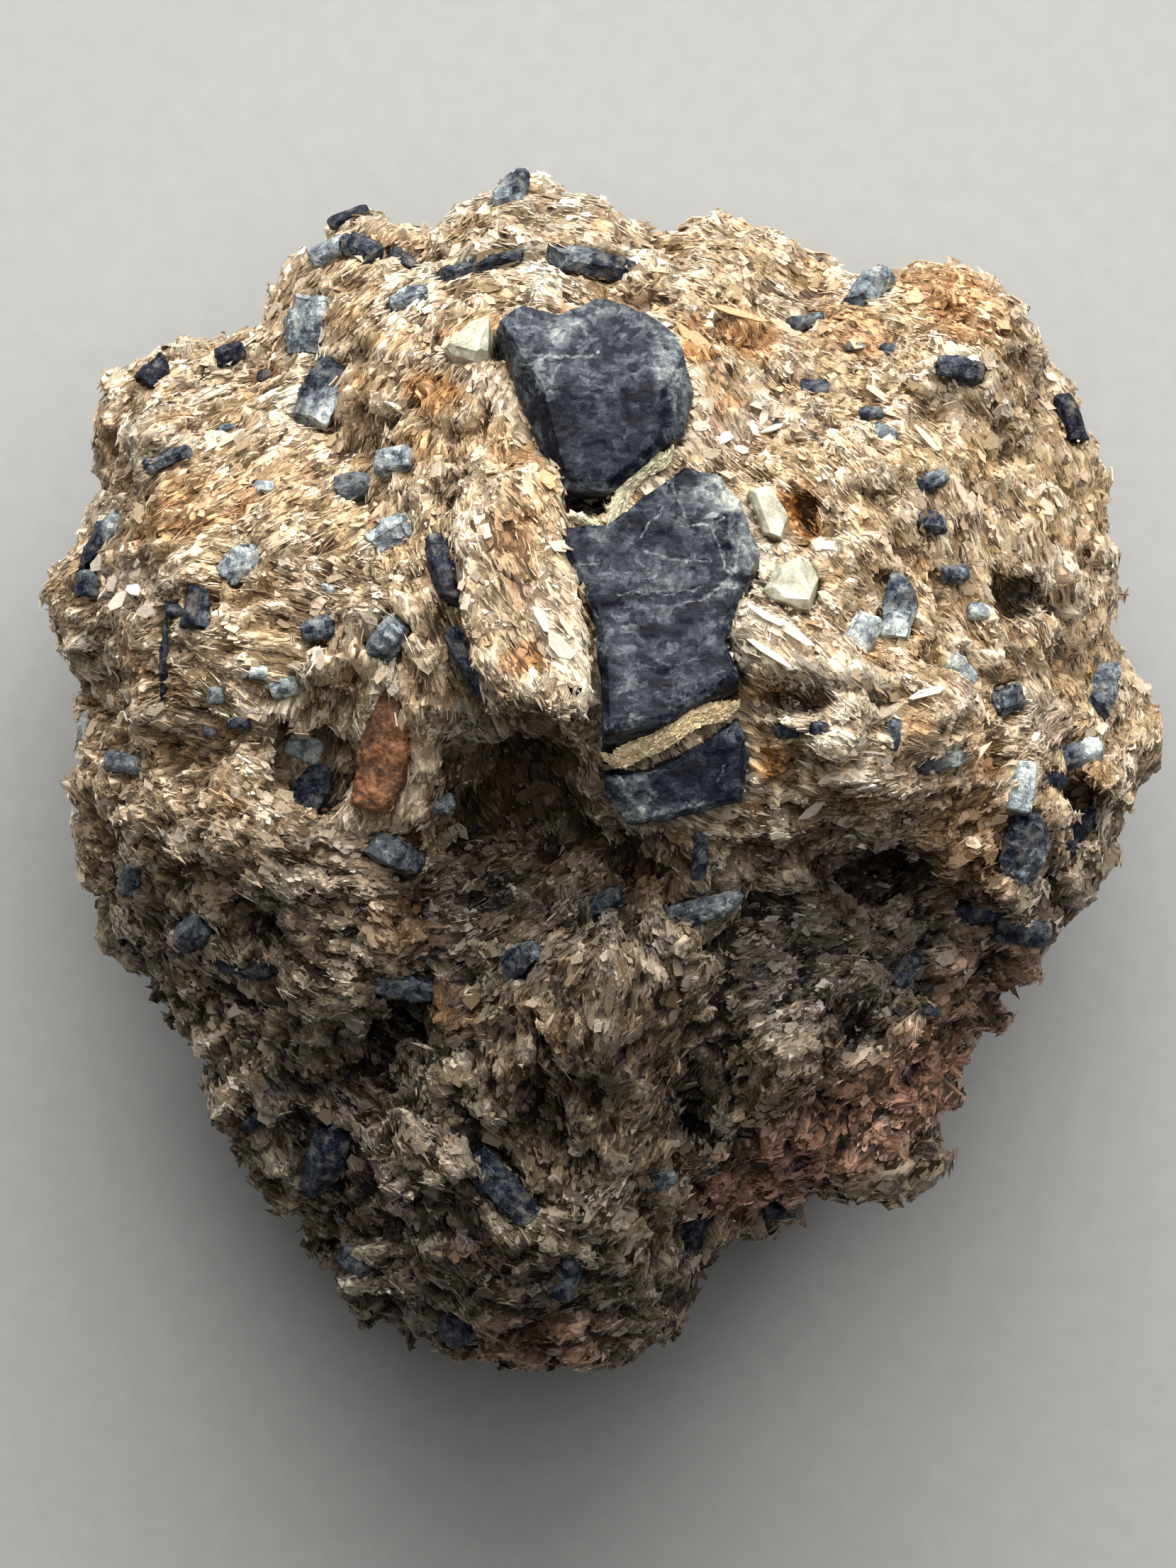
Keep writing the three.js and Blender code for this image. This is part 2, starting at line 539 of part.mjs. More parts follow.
const EAST = new THREE.Vector3(1, 0, 0);
for (const [place, crystals] of Object.entries(FACE_CRYSTALS)) {
  crystals.forEach((crystal, i) => {
    const outward = new THREE.Vector3(crystal.x, crystal.y, 0).normalize();
    const slant = radians(crystal.slant ?? 0);
    const towards = new THREE.Vector3(0, 0, -Math.cos(slant)).addScaledVector(outward, -Math.sin(slant));
    const shoulder = new THREE.Vector3(crystal.x, crystal.y, SHOULDER_HEIGHT);
    const from = shoulder.addScaledVector(towards, -FAR_AWAY);
    setCrystal(`${place}_sapphire_${i + 1}`, crystal, from, towards, EAST);
  });
}
SIDE_CRYSTALS.forEach((crystal, i) => {
  const outward = new THREE.Vector3().setFromSphericalCoords(
    1, radians(90 - crystal.elevation), radians(crystal.compass));
  outward.set(outward.z, outward.x, outward.y);
  const from = outward.clone().multiplyScalar(FAR_AWAY).add(new THREE.Vector3(0, 0, RIM_HEIGHT));
  const eastward = new THREE.Vector3(-outward.y, outward.x, 0);
  setCrystal(`side_sapphire_${i + 1}`, crystal, from, outward.clone().negate(), eastward);
});

// The back is broken off flat where the stone rests
const floorBlock = closed(new THREE.BoxGeometry(200, 200, 40));
floorBlock.translate(0, 0, -20);
stone = stone.subtract(solidOf(floorBlock));
addPiece('schist_lump', geometryOf(stone), 'schist');

// The origin is under the middle of the whole specimen
const box = new THREE.Box3().setFromObject(specimen);
specimen.position.set(-(box.min.x + box.max.x) / 2, -(box.min.y + box.max.y) / 2, -box.min.z);

export default specimen;
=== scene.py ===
import math
from itertools import product

import bmesh
import bpy
import numpy as np
from bpy.props import FloatProperty, FloatVectorProperty, IntProperty, PointerProperty
from mathutils import Matrix, Vector
from mathutils.bvhtree import BVHTree


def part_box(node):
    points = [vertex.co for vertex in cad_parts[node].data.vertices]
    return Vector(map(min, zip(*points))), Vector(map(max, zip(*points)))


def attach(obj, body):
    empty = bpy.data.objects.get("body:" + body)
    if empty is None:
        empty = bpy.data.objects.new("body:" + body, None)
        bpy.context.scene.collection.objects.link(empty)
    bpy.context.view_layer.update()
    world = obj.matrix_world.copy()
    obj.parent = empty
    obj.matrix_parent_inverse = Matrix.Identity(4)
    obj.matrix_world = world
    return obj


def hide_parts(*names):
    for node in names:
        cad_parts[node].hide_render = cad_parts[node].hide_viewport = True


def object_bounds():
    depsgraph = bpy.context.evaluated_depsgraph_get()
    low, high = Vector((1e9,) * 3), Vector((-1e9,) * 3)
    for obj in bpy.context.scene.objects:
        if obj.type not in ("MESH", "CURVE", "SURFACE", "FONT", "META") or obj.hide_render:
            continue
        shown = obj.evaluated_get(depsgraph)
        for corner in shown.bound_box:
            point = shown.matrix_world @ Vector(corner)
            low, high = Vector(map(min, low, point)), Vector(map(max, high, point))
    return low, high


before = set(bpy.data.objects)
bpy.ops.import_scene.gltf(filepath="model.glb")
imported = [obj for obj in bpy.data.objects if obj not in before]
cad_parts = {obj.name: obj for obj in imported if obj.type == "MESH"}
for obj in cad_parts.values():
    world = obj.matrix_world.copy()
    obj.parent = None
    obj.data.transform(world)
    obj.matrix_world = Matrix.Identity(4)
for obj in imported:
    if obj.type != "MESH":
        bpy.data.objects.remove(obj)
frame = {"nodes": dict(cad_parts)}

bl_info = {
    "name": "Sapphire Specimen",
    "version": (1, 0, 0),
    "blender": (4, 5, 0),
    "location": "View3D > Sidebar > Specimen",
    "description": "A lump of golden mica schist with blue-grey sapphires grown through it",
    "category": "Add Mesh",
}

CAD_BOX = [list(corner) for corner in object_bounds()]
MM = 0.001
FAR = 1e9  # farther than anything, to start a search for the nearest
SKY = 120 * MM  # a height above the whole stone, to look down from
DOWN = Vector((0, 0, -1))
FACE_HEIGHT = 32 * MM  # the face's mean height, which the camera's distance is counted from
SHARP_ANGLE = 0.3  # radians: edges that turn more than this are bevelled
WALL_LOW, WALL_FADE = 8 * MM, 16 * MM  # the flakes thin out down to this height, over that much
REST_HEIGHT = 0.8 * MM  # below this the stone rests on its back and bears no flakes
LOWER_EDGE, LOWER_FADE = 1 * MM, 14 * MM  # y, below which the stone is painted darker, as painted shade, and over how much it fades in
BACK_HEIGHT = 16 * MM  # flakes above this belong to the face
FACE_SPLIT = 6 * MM  # y, in which the face's flakes are parted into upper and lower pieces
CRACK_GRID = 0.14 * MM  # edge length of a crystal's mesh near its cracks

# The photograph's height in pixels, its scale at the face, and the camera that looks down as it did.
PHOTO_HEIGHT, PIXELS_PER_MM = 2212, 17.9
CAMERA_PLACE, CAMERA_DISTANCE, SENSOR = (-1.02 * MM, -1.10 * MM), 1.5, 36

# Colours: the mica from dark to light, and where it is pearly. The sapphires by tone, their cracks and dust.
MICA_TONES = [(0.10, 0.065, 0.038), (0.26, 0.175, 0.095), (0.42, 0.32, 0.20), (0.57, 0.48, 0.35),
              (0.71, 0.65, 0.54)]
PEARL = (0.80, 0.70, 0.60)
SAPPHIRE_TONES = [(0.0, (0.003, 0.0035, 0.007)), (0.2, (0.008, 0.010, 0.018)), (0.4, (0.034, 0.040, 0.050)),
                  (0.6, (0.098, 0.111, 0.120)), (0.8, (0.225, 0.245, 0.235)), (1.0, (0.46, 0.48, 0.42))]
CRACK_COLOUR, DUST_COLOUR = (0.36, 0.38, 0.37), (0.26, 0.235, 0.19)
SMALL_TINT, SMALL_DUST = (1.3, 1.36, 1.42), 0.5

# Seeds of the random draws.
MICA_SEED, SEAM_SEED, CRYSTAL_SEED, BOLD_SEED = 7, 19, 23, 29

# Whole numbers that scatter the cells of the noise.
CELL_PRIMES, SEED_PRIME = (73856093, 19349663, 83492791), 2654435761
LOT_STEPS, MIXER, WORD = (0, 0x9E3779B9, 0x3C6EF372), 0x45D9F3B, 2 ** 32

# Directions of the mica's grain over the face: x, y in mm and the angle of the streaks in degrees.
GRAIN_DIRECTIONS = [
    (-34, 30, 28), (-24, 24, 30), (-38, 10, 12), (-26, 12, -20), (-14, 30, 62), (-10, 22, -68),
    (-18, 40, 35), (-4, 44, -24), (8, 42, -18), (20, 38, -24), (30, 30, -48), (14, 30, -50), (22, 24, -36),
    (34, 16, -62), (26, 8, -38), (14, 8, -36), (16, -2, -20), (30, 0, 24), (38, -6, 60), (26, -12, 12),
    (-8, 14, -66), (-4, 6, -62), (-20, 4, 70), (-32, -4, -12), (-34, -14, -48), (-22, -14, -28),
    (-10, -12, 20), (2, -16, 84), (2, -26, 76), (14, -20, 30), (24, -26, 34), (-20, -28, -56),
    (-10, -34, -42), (-16, -42, -8), (-4, -44, 12), (10, -34, 52),
]

# Colour patches of the mica by kind: x, y in mm, the two radii, the angle and the strength. The dark ones are
# mostly painted shade and shadow, partly the mica's own dark brown.
MICA_PATCHES = {
    "rust": [
        (9.6, 27.7, 2.0, 1.0, 40, 0.9), (-10.2, 34.4, 2.2, 1.2, 10, 0.7), (-13.3, 29.5, 2.6, 1.5, 0, 0.8),
        (15.3, 20.2, 2.0, 2.3, 20, 1.0), (28.1, 36.7, 4.5, 2.6, -40, 0.7), (19.5, 35.0, 3.4, 2.0, -30, 0.6),
        (7.7, 33.3, 1.3, 1.6, 0, 0.8), (12.0, 34.3, 2.5, 1.9, -20, 0.7), (-4.9, 23.7, 0.8, 2.0, 15, 0.8),
        (-7.6, 24.9, 1.5, 2.2, 10, 0.5), (-6.3, 8.2, 1.6, 1.2, 0, 0.9), (-11.5, -18.9, 2.2, 2.0, 0, 0.9),
        (-8.0, -3.5, 1.7, 2.8, 15, 0.5), (30.0, -6.0, 5.6, 3.9, 10, 0.5), (12.9, 0.8, 1.2, 1.2, 0, 1.0),
        (16.3, 11.1, 1.5, 0.8, 0, 0.3), (-6.5, 16.5, 1.5, 4.5, 10, 0.6), (-4.3, -6.4, 3.4, 1.7, 0, 0.6),
        (-16.1, -12.5, 2.8, 2.2, 0, 0.6), (2.9, -9.1, 3.4, 1.7, 0, 0.5), (-32.8, 20.5, 3.4, 2.2, 40, 0.5),
        (-28.1, 21.6, 3.4, 1.5, 50, 0.55), (-23.9, 22.1, 2.2, 1.3, 60, 0.4),
        (-15.0, 24.9, 2.2, 1.5, 0, 0.35), (21.4, 10.4, 2.2, 1.1, 60, 0.5), (29.7, 0.3, 1.1, 5.0, 0, 0.5),
    ],
    # painted shade and shadow in hollows, under ledges and beside the crystals, partly dark brown mica
    "dark": [
        (-7.0, 17.1, 1.2, 5.0, 12, 0.5), (-2.7, 18.2, 0.6, 3.4, 14, 0.35), (18.6, -14.7, 8.9, 5.3, 5, 0.85),
        (-6.3, -3.6, 5.9, 8.4, 0, 0.68), (33.1, 14.0, 1.9, 1.7, 0, 0.9), (-1.3, 20.3, 1.7, 1.1, 0, 1.0),
        (21.9, -8.1, 5.0, 2.0, 10, 0.9), (-21.1, -27.6, 8.4, 8.4, 0, 0.4),
        (-7.1, -41.6, 12.8, 5.0, 0, 0.55), (14.1, 5.4, 1.7, 1.3, 0, 0.8), (16.9, 5.7, 0.8, 1.5, 0, 0.8),
        (-11.0, 7.1, 2.2, 4.5, 0, 0.45), (-7.2, 11.0, 1.1, 3.4, 0, 0.4), (19.7, -3.6, 2.2, 1.3, 20, 0.4),
        (-21.7, 12.6, 1.5, 2.8, 10, 0.35), (-18.3, 12.1, 2.2, 2.2, 0, 0.45), (-9.0, -0.2, 2.2, 2.2, 0, 0.7),
        (-0.4, -10.5, 2.6, 1.7, 0, 0.75), (-5.5, -15.3, 2.2, 2.0, 0, 0.7), (-18.0, -19.8, 1.5, 2.8, 0, 0.6),
        (-10.5, -11.8, 1.9, 1.3, 0, 0.6), (6.6, -27.9, 1.5, 2.2, 0, 0.75), (-15.5, -30.9, 2.2, 1.7, 0, 0.6),
        (-7.0, -38.4, 2.8, 1.7, 0, 0.6), (16.0, -13.6, 2.2, 1.5, 0, 0.6), (20.3, -20.2, 2.5, 0.9, 0, 0.8),
        (14.8, -19.4, 2.0, 0.9, 0, 0.7), (7.6, -25.7, 1.5, 1.7, 0, 0.85), (11.8, -31.3, 2.8, 1.2, 0, 0.7),
        (30.0, -12.2, 1.5, 1.1, 0, 0.5), (10.5, 8.7, 0.7, 2.6, 0, 0.7), (11.1, 4.3, 0.7, 1.9, 0, 0.8),
        (14.9, 6.2, 2.8, 0.7, 0, 0.6), (-8.8, 13.2, 0.8, 3.4, 0, 0.5), (-11.6, 21.6, 1.3, 1.7, 0, 0.35),
        (0.7, -18.6, 0.8, 5.0, 0, 0.4), (-25.0, -11.4, 2.8, 1.5, 0, 0.5), (-30.6, -5.2, 2.2, 1.1, 0, 0.4),
        (-34.0, 4.3, 2.2, 1.7, 0, 0.4),
    ],
    "pearl": [
        (-37.0, 13.8, 3.1, 2.3, 10, 0.9), (9.1, 26.3, 3.4, 1.5, 15, 0.95), (-9.8, 30.5, 1.6, 1.0, 0, 0.9),
        (35.0, 3.6, 2.3, 1.8, 0, 0.8), (-4.3, 11.5, 1.3, 3.4, 28, 0.9), (-3.2, 9.6, 1.5, 1.8, 0, 1.0),
        (13.5, 11.0, 3.4, 1.1, -35, 0.7), (12.7, 27.4, 1.7, 1.3, 0, 0.6), (27.5, 5.7, 1.3, 1.1, 0, 0.7),
        (-2.1, 4.3, 2.2, 0.9, -50, 0.5),
    ],
    "brick": [
        (20.0, -28.0, 8.9, 3.6, 35, 1.0), (12.5, -32.5, 5.0, 3.0, 25, 1.0),
        (26.0, -24.0, 4.5, 3.4, 40, 1.0), (-5.0, -45.0, 6.5, 2.2, 6, 0.6),
        (30.9, -17.5, 5.0, 4.5, 20, 0.45),
    ],
}

# Hollows broken into the face: x, y in mm, the two radii, the angle and the depth. A negative one is a hump.
HOLLOWS = [
    (-6.3, -0.8, 6.1, 6.4, 0, 4.2), (-11.6, -8.0, 5.0, 3.9, 0, 1.5), (-22.2, 0.9, 3.9, 5.0, 0, 1.4),
    (-20.5, 16.0, 3.4, 3.4, 0, 1.2), (-12.7, 32.2, 2.5, 1.7, 0, 1.0), (10.7, 33.6, 2.8, 1.6, 0, 1.0),
    (15.2, 20.2, 2.1, 2.5, 0, 1.6), (32.8, 14.0, 1.9, 1.7, 0, 1.8), (35.9, 13.2, 1.0, 1.2, 0, 1.2),
    (14.1, 5.7, 3.4, 1.7, -20, 2.0), (16.9, 5.4, 1.1, 2.0, 0, 1.5), (21.9, -8.0, 4.8, 1.9, 8, 2.8),
    (38.1, -2.4, 2.0, 2.4, 0, 1.4), (7.4, -28.1, 2.0, 3.1, -10, 2.0), (2.9, -6.9, 3.4, 2.2, 0, 1.5),
    (19.1, -19.8, 2.8, 1.1, 10, 1.5), (-27.8, -11.9, 2.8, 2.5, 0, 1.5), (-16.1, -22.0, 2.5, 3.9, 0, 1.5),
    (-30.6, 1.5, 1.4, 1.4, 0, 1.2), (-8.8, -21.2, 2.8, 2.0, 0, 1.0), (11.3, -15.6, 3.1, 2.5, 0, 1.2),
    (7.4, -35.7, 2.0, 2.5, 0, 1.5), (12.4, -35.1, 3.1, 1.4, 10, 1.5), (21.8, 2.0, 6.4, 4.6, -15, -2.2),
]

# Raised slabs of mica: the outline in mm, how far it is lifted and how calm its face is, from 0 to 1.
PLATEAUS = [
    ([(-8.0, 29.4), (-5.9, 30.1), (-3.5, 21.6), (-2.0, 16.5), (-0.3, 11.5), (-0.2, 7.9), (0.1, 2.0),
      (-3.2, 5.7), (-8.0, 5.7), (-10.2, 11.5), (-11.3, 17.7), (-10.8, 21.6), (-9.4, 24.9)], 1.2, 0.55),
    ([(10.2, 13.2), (12.1, 12.4), (15.2, 11.2), (18.6, 10.1), (21.4, 7.6), (24.7, 7.1), (22.5, 5.7),
      (18.0, 6.8), (14.6, 6.2), (11.9, 7.6), (10.5, 10.4)], 1.8, 0.6),
    ([(-3.2, -13.6), (1.8, -12.5), (5.7, -15.9), (6.3, -20.3), (5.2, -25.9), (2.9, -30.9), (1.8, -36.5),
      (-0.4, -36.5), (0.1, -28.7), (-3.2, -22.0), (-4.9, -17.5)], 1.0, 0.3),
    ([(11.9, -18.7), (17.5, -18.1), (17.9, -21.5), (14.6, -25.5), (9.6, -28.1), (8.0, -26.5),
      (11.9, -23.0)], 1.0, 0.4),
]

# Single bold flakes: x, y, length and width in mm, the direction, the roll and the tone.
BOLD_FLAKES = [
    (-4.1, -1.4, 2.9, 1.5, -25, 30, 0.42), (-5.9, -2.0, 2.3, 1.1, 20, -25, 0.34),
    (-6.3, 0.1, 2.2, 1.0, 60, 35, 0.3), (-3.1, 0.3, 2.0, 0.9, -60, 20, 0.34),
    (-4.9, -3.1, 2.5, 1.0, -70, -30, 0.3), (-7.4, -1.0, 2.1, 0.9, 95, 40, 0.26),
    (-4.3, 1.2, 1.7, 0.8, 110, -35, 0.3), (-3.2, 9.6, 3.4, 1.5, -50, 12, 1.0),
    (-4.6, 11.6, 2.9, 0.8, -62, -15, 0.95), (-2.7, 11.0, 2.6, 0.6, -58, 20, 0.85),
    (-3.9, 13.8, 2.8, 0.4, -65, 10, 0.8), (7.7, 26.8, 1.6, 1.0, 10, 15, 1.0),
    (9.6, 25.9, 1.8, 1.0, 30, -10, 1.0), (10.9, 24.9, 1.5, 0.8, -20, 20, 0.98),
    (7.1, 28.6, 1.6, 1.1, 0, -20, 0.95), (8.5, 24.6, 1.9, 0.8, 15, 25, 0.95),
    (7.5, 33.4, 2.8, 1.3, -42, 25, 0.5), (14.1, 35.0, 6.7, 0.8, -28, 20, 0.72),
    (10.7, 35.8, 5.0, 0.7, -8, -15, 0.7), (12.7, 27.7, 2.2, 0.8, 70, 20, 0.9),
    (13.5, 26.6, 2.1, 0.7, 30, -20, 0.85), (11.9, 26.6, 1.9, 0.7, 100, 15, 0.85),
    (16.4, -3.0, 2.5, 1.2, 25, 10, 0.95), (17.9, -0.5, 2.2, 0.8, 35, -15, 0.7),
    (14.1, -2.2, 2.5, 0.8, 15, 25, 0.6), (14.6, 10.7, 5.0, 0.7, -33, 15, 0.95),
    (13.0, 9.0, 4.5, 0.7, -36, -20, 0.9), (16.0, 8.2, 4.5, 0.6, -34, 10, 0.85),
    (12.7, 11.8, 3.9, 0.7, -30, 20, 0.9), (-37.8, 13.2, 2.0, 1.3, 40, 20, 0.98),
    (-36.5, 14.0, 1.7, 1.2, -30, -20, 1.0), (-35.6, 12.4, 1.7, 1.1, 10, 25, 0.95),
    (-38.4, 14.6, 1.5, 1.0, 70, 10, 0.95), (-17.2, -42.9, 3.4, 0.6, 20, 30, 0.75),
    (-17.3, -43.6, 3.4, 0.6, 20, 35, 0.3), (-17.4, -44.2, 3.2, 0.6, 20, 30, 0.7),
    (0.7, -17.5, 3.4, 0.9, 80, -15, 0.62), (2.1, -22.0, 3.1, 0.8, 78, 20, 0.6),
    (21.9, 4.3, 3.9, 0.9, 30, 15, 0.8), (25.3, 5.9, 3.4, 0.8, 20, -20, 0.85),
    (-26.1, 29.4, 3.9, 0.6, 28, 15, 0.85), (-23.3, 27.2, 3.9, 0.6, 30, -15, 0.8),
    (-28.9, 26.0, 3.6, 0.6, 26, 20, 0.85), (-30.6, 29.4, 3.4, 0.6, 32, -20, 0.8),
    (25.3, 26.0, 3.4, 0.6, -50, 20, 0.85), (28.1, 21.6, 3.4, 0.7, -58, -15, 0.85),
    (21.9, 29.4, 3.1, 0.7, -40, 15, 0.9),
]

# The smallest sapphires set in the mica: x, y, length and width in mm, the angle, and the tones of the body
# and the far end.
SET_CRYSTALS = [
    (-20.0, 43.8, 3.4, 1.3, 25, 0.12, 0.12), (-15.6, 40.2, 2.7, 1.6, -45, 0.2, 0.2),
    (-26.4, 31.1, 1.4, 1.2, 0, 0.15, 0.15), (-30.0, 26.5, 2.9, 1.1, 25, 0.4, 0.5),
    (-26.4, 22.1, 1.6, 1.2, 0, 0.65, 0.7), (-40.4, 14.6, 2.0, 2.5, 90, 0.25, 0.4),
    (-33.0, 12.5, 2.2, 1.8, 0, 0.2, 0.3), (-34.2, 8.2, 7.3, 0.9, 83, 0.15, 0.2),
    (-30.0, 5.9, 1.4, 2.0, 90, 0.6, 0.7), (-28.3, 3.7, 1.1, 2.5, 80, 0.3, 0.4),
    (-30.6, 3.1, 1.2, 1.5, 0, 0.5, 0.5), (-26.7, 7.6, 1.6, 1.3, 0, 0.75, 0.8),
    (-24.7, 6.6, 2.3, 1.8, 20, 0.7, 0.8), (-21.4, 14.0, 1.2, 1.2, 0, 0.7, 0.8),
    (-21.9, 11.0, 2.8, 2.2, 10, 0.45, 0.5), (-23.3, 1.7, 2.9, 2.3, -20, 0.75, 0.85),
    (-12.7, -2.7, 2.3, 1.7, 15, 0.7, 0.75), (-37.4, 0.5, 3.2, 2.0, -10, 0.5, 0.6),
    (-40.7, 3.3, 2.5, 1.7, 90, 0.6, 0.7), (-27.1, -27.3, 2.8, 1.5, 70, 0.15, 0.2),
    (7.7, -6.9, 5.6, 1.5, 85, 0.4, 0.45), (0.6, -10.4, 2.8, 2.0, 0, 0.3, 0.35),
    (-19.3, -38.8, 2.9, 2.1, -20, 0.45, 0.55), (-2.7, -39.6, 3.7, 2.5, 80, 0.4, 0.5),
    (7.4, -36.2, 4.5, 3.2, 60, 0.25, 0.3), (14.2, -34.8, 2.6, 2.2, 0, 0.2, 0.25),
    (4.5, -32.2, 2.9, 1.6, 10, 0.6, 0.7), (16.9, 40.5, 1.3, 0.8, -20, 0.2, 0.2),
    (16.2, 35.3, 2.9, 1.6, 15, 0.25, 0.3), (20.0, 33.3, 1.5, 1.1, 0, 0.35, 0.4),
    (22.9, 33.0, 1.7, 1.1, 0, 0.4, 0.45), (16.7, 29.8, 2.2, 2.0, 0, 0.25, 0.3),
    (21.2, 27.8, 1.8, 1.5, 10, 0.3, 0.4), (22.1, 26.3, 2.3, 1.7, -20, 0.6, 0.7),
    (13.8, 26.9, 1.5, 1.1, 60, 0.35, 0.4), (20.3, 10.7, 2.9, 2.6, 60, 0.8, 0.85),
    (27.5, 15.3, 2.1, 1.7, 0, 0.35, 0.5), (29.6, 12.3, 1.9, 1.6, 0, 0.7, 0.75),
    (28.1, 7.8, 2.9, 2.1, -30, 0.75, 0.8), (37.1, 1.1, 5.1, 2.7, 18, 0.3, 0.85),
    (22.6, 2.8, 2.6, 1.5, 80, 0.35, 0.4), (14.4, 3.1, 1.8, 1.5, 0, 0.2, 0.25),
    (16.9, 3.1, 1.6, 1.3, 0, 0.25, 0.3), (32.9, -1.4, 4.2, 2.6, 75, 0.7, 0.85),
    (35.3, -0.9, 2.6, 1.9, 0, 0.12, 0.2), (37.6, -5.0, 5.0, 2.7, 55, 0.22, 0.3),
    (33.1, -12.6, 4.5, 2.5, -10, 0.3, 0.4), (23.9, -15.6, 2.9, 2.5, 60, 0.4, 0.45),
    (25.9, -18.9, 1.8, 1.5, 0, 0.35, 0.4), (-21.4, 41.1, 3.4, 1.9, 20, 0.6, 0.65),
    (-16.1, 24.1, 2.9, 2.5, 0, 0.6, 0.65),
]

# Tones of the numbered CAD sapphires of each group: the body from 0, navy, to 1, white, then the direction
# of one end in degrees and that end's tone.
TONES = {
    "top_edge": [(0.6, 65, 0.25), (0.5, 0, 0.2), (0.35, 0, 0.15), (0.55, 0, 0.5), (0.3, -45, 0.25),
                 (0.45, 50, 0.6)],
    "left_slope": [(0.62, -60, 0.45), (0.3, -70, 0.9), (0.15, 0, 0.15), (0.14, 0, 0.14), (0.45, 25, 0.35),
                   (0.55, 180, 0.45), (0.62, 120, 0.75), (0.2, 30, 0.7), (0.18, 0, 0.25), (0.6, 30, 0.7)],
    "slab_edge": [(0.16, 100, 0.25), (0.2, 120, 0.16), (0.5, 90, 0.6)],
    "left_rim": [(0.5, 60, 0.65), (0.6, -80, 0.3), (0.32, 0, 0.35)],
    "hollow": [(0.26, 80, 0.35), (0.7, -40, 0.25), (0.35, 60, 0.6), (0.62, 15, 0.8), (0.6, 180, 0.7)],
    "valley": [(0.36, 60, 0.25), (0.25, -45, 0.3), (0.3, 0, 0.35)],
    "right_slope": [(0.26, 170, 0.4), (0.3, 25, 0.5), (0.3, 0, 0.4), (0.38, -90, 0.85), (0.42, 0, 0.35),
                    (0.4, 15, 0.75)],
    "right_rim": [(0.12, -60, 0.1), (0.4, 75, 0.6), (0.25, -60, 0.65), (0.32, 0, 0.3)],
    "side": [(0.35, 0, 0.4), (0.35, 0, 0.4), (0.35, 0, 0.4), (0.35, 0, 0.4)],
}

# Patches of tone on the large sapphires: x, y in mm, the two radii, the angle and the tone.
LARGE_PATCHES = [
    (-3.2, 28.0, 2.0, 1.6, 0, 0.02), (3.2, 28.4, 1.7, 1.7, 0, 0.02), (0.1, 27.2, 1.5, 1.3, 0, 0.24),
    (-2.7, 24.9, 1.5, 1.5, 0, 0.08), (0.7, 25.2, 2.3, 1.3, 0, 0.16), (0.1, 23.4, 3.4, 0.8, 0, 0.14),
    (-6.0, 33.9, 1.4, 1.7, 0, 0.32), (-5.5, 36.3, 2.2, 0.7, 0, 0.46), (1.2, 36.3, 3.1, 0.8, 0, 0.44),
    # The pale patch at -2.7, 34.3 is a painted highlight: a glint painted into the crystal's tone.
    (-2.7, 34.3, 1.5, 0.8, 25, 0.74), (1.2, 33.0, 2.1, 1.1, 0, 0.24), (0.1, 30.8, 3.4, 0.9, 0, 0.34),
    (-4.2, 30.2, 0.8, 1.7, 0, 0.52), (5.6, 32.8, 1.1, 3.1, -18, 0.6), (6.4, 28.8, 0.8, 2.1, 0, 0.52),
    (-1.3, 22.0, 3.4, 0.4, 0, 0.46), (-6.9, 32.5, 0.8, 1.7, 0, 0.36), (6.0, 23.4, 0.9, 1.5, 35, 0.05),
    (4.3, 22.9, 0.8, 0.3, 20, 0.02), (2.4, 19.3, 0.8, 0.5, 0, 0.03), (3.6, 21.5, 0.4, 0.6, 0, 0.06),
    (4.6, 20.7, 1.3, 1.2, 0, 0.3), (-1.6, 17.7, 1.3, 0.9, -30, 0.12), (-0.2, 18.2, 0.9, 0.7, 0, 0.4),
    (4.7, 18.4, 1.6, 0.7, 0, 0.12), (6.8, 16.7, 1.1, 0.6, 0, 0.22), (9.7, 19.3, 0.9, 0.6, 0, 0.22),
    (9.7, 17.5, 0.4, 0.4, 0, 0.05), (9.0, 15.2, 0.6, 1.1, 0, 0.14), (11.1, 14.8, 0.7, 0.4, 0, 0.05),
    (4.9, 15.2, 2.7, 0.9, 0, 0.48), (0.8, 15.3, 1.8, 1.3, 0, 0.32), (1.5, 13.2, 1.6, 0.6, 10, 0.07),
    (4.0, 10.7, 0.9, 0.5, 0, 0.02), (5.7, 10.8, 1.0, 0.4, 0, 0.05), (1.8, 11.1, 1.2, 1.0, 0, 0.38),
    (7.9, 12.5, 1.7, 0.6, 10, 0.14), (2.9, 7.9, 1.6, 1.9, 0, 0.34), (0.1, 7.5, 0.5, 1.5, 0, 0.05),
    (4.7, 6.3, 0.6, 0.4, 0, 0.04), (9.2, 8.7, 1.1, 0.8, 0, 0.1), (7.7, 6.8, 2.1, 0.8, 10, 0.26),
    (4.3, 4.5, 1.0, 0.5, 0, 0.12), (1.2, 4.4, 0.9, 1.2, 0, 0.16), (10.2, 20.9, 2.3, 1.9, -30, 0.84),
    (11.3, 16.8, 1.3, 1.6, 0, 0.62), (8.5, 23.4, 1.9, 0.8, 0, 0.54), (1.2, 9.6, 1.1, 0.7, 0, 0.4),
    (6.9, 0.6, 2.7, 2.3, 0, 0.03), (9.2, -1.8, 0.8, 1.0, 0, 0.06), (2.9, -1.4, 1.8, 1.2, 0, 0.34),
    (2.5, -3.1, 1.9, 0.6, -10, 0.54), (1.4, 0.2, 1.0, 0.6, 0, 0.16), (6.0, -3.2, 3.4, 0.3, 8, 0.46),
    (10.5, -0.5, 0.6, 2.0, 0, 0.24), (7.7, -2.0, 1.1, 0.7, 0, 0.12),
]
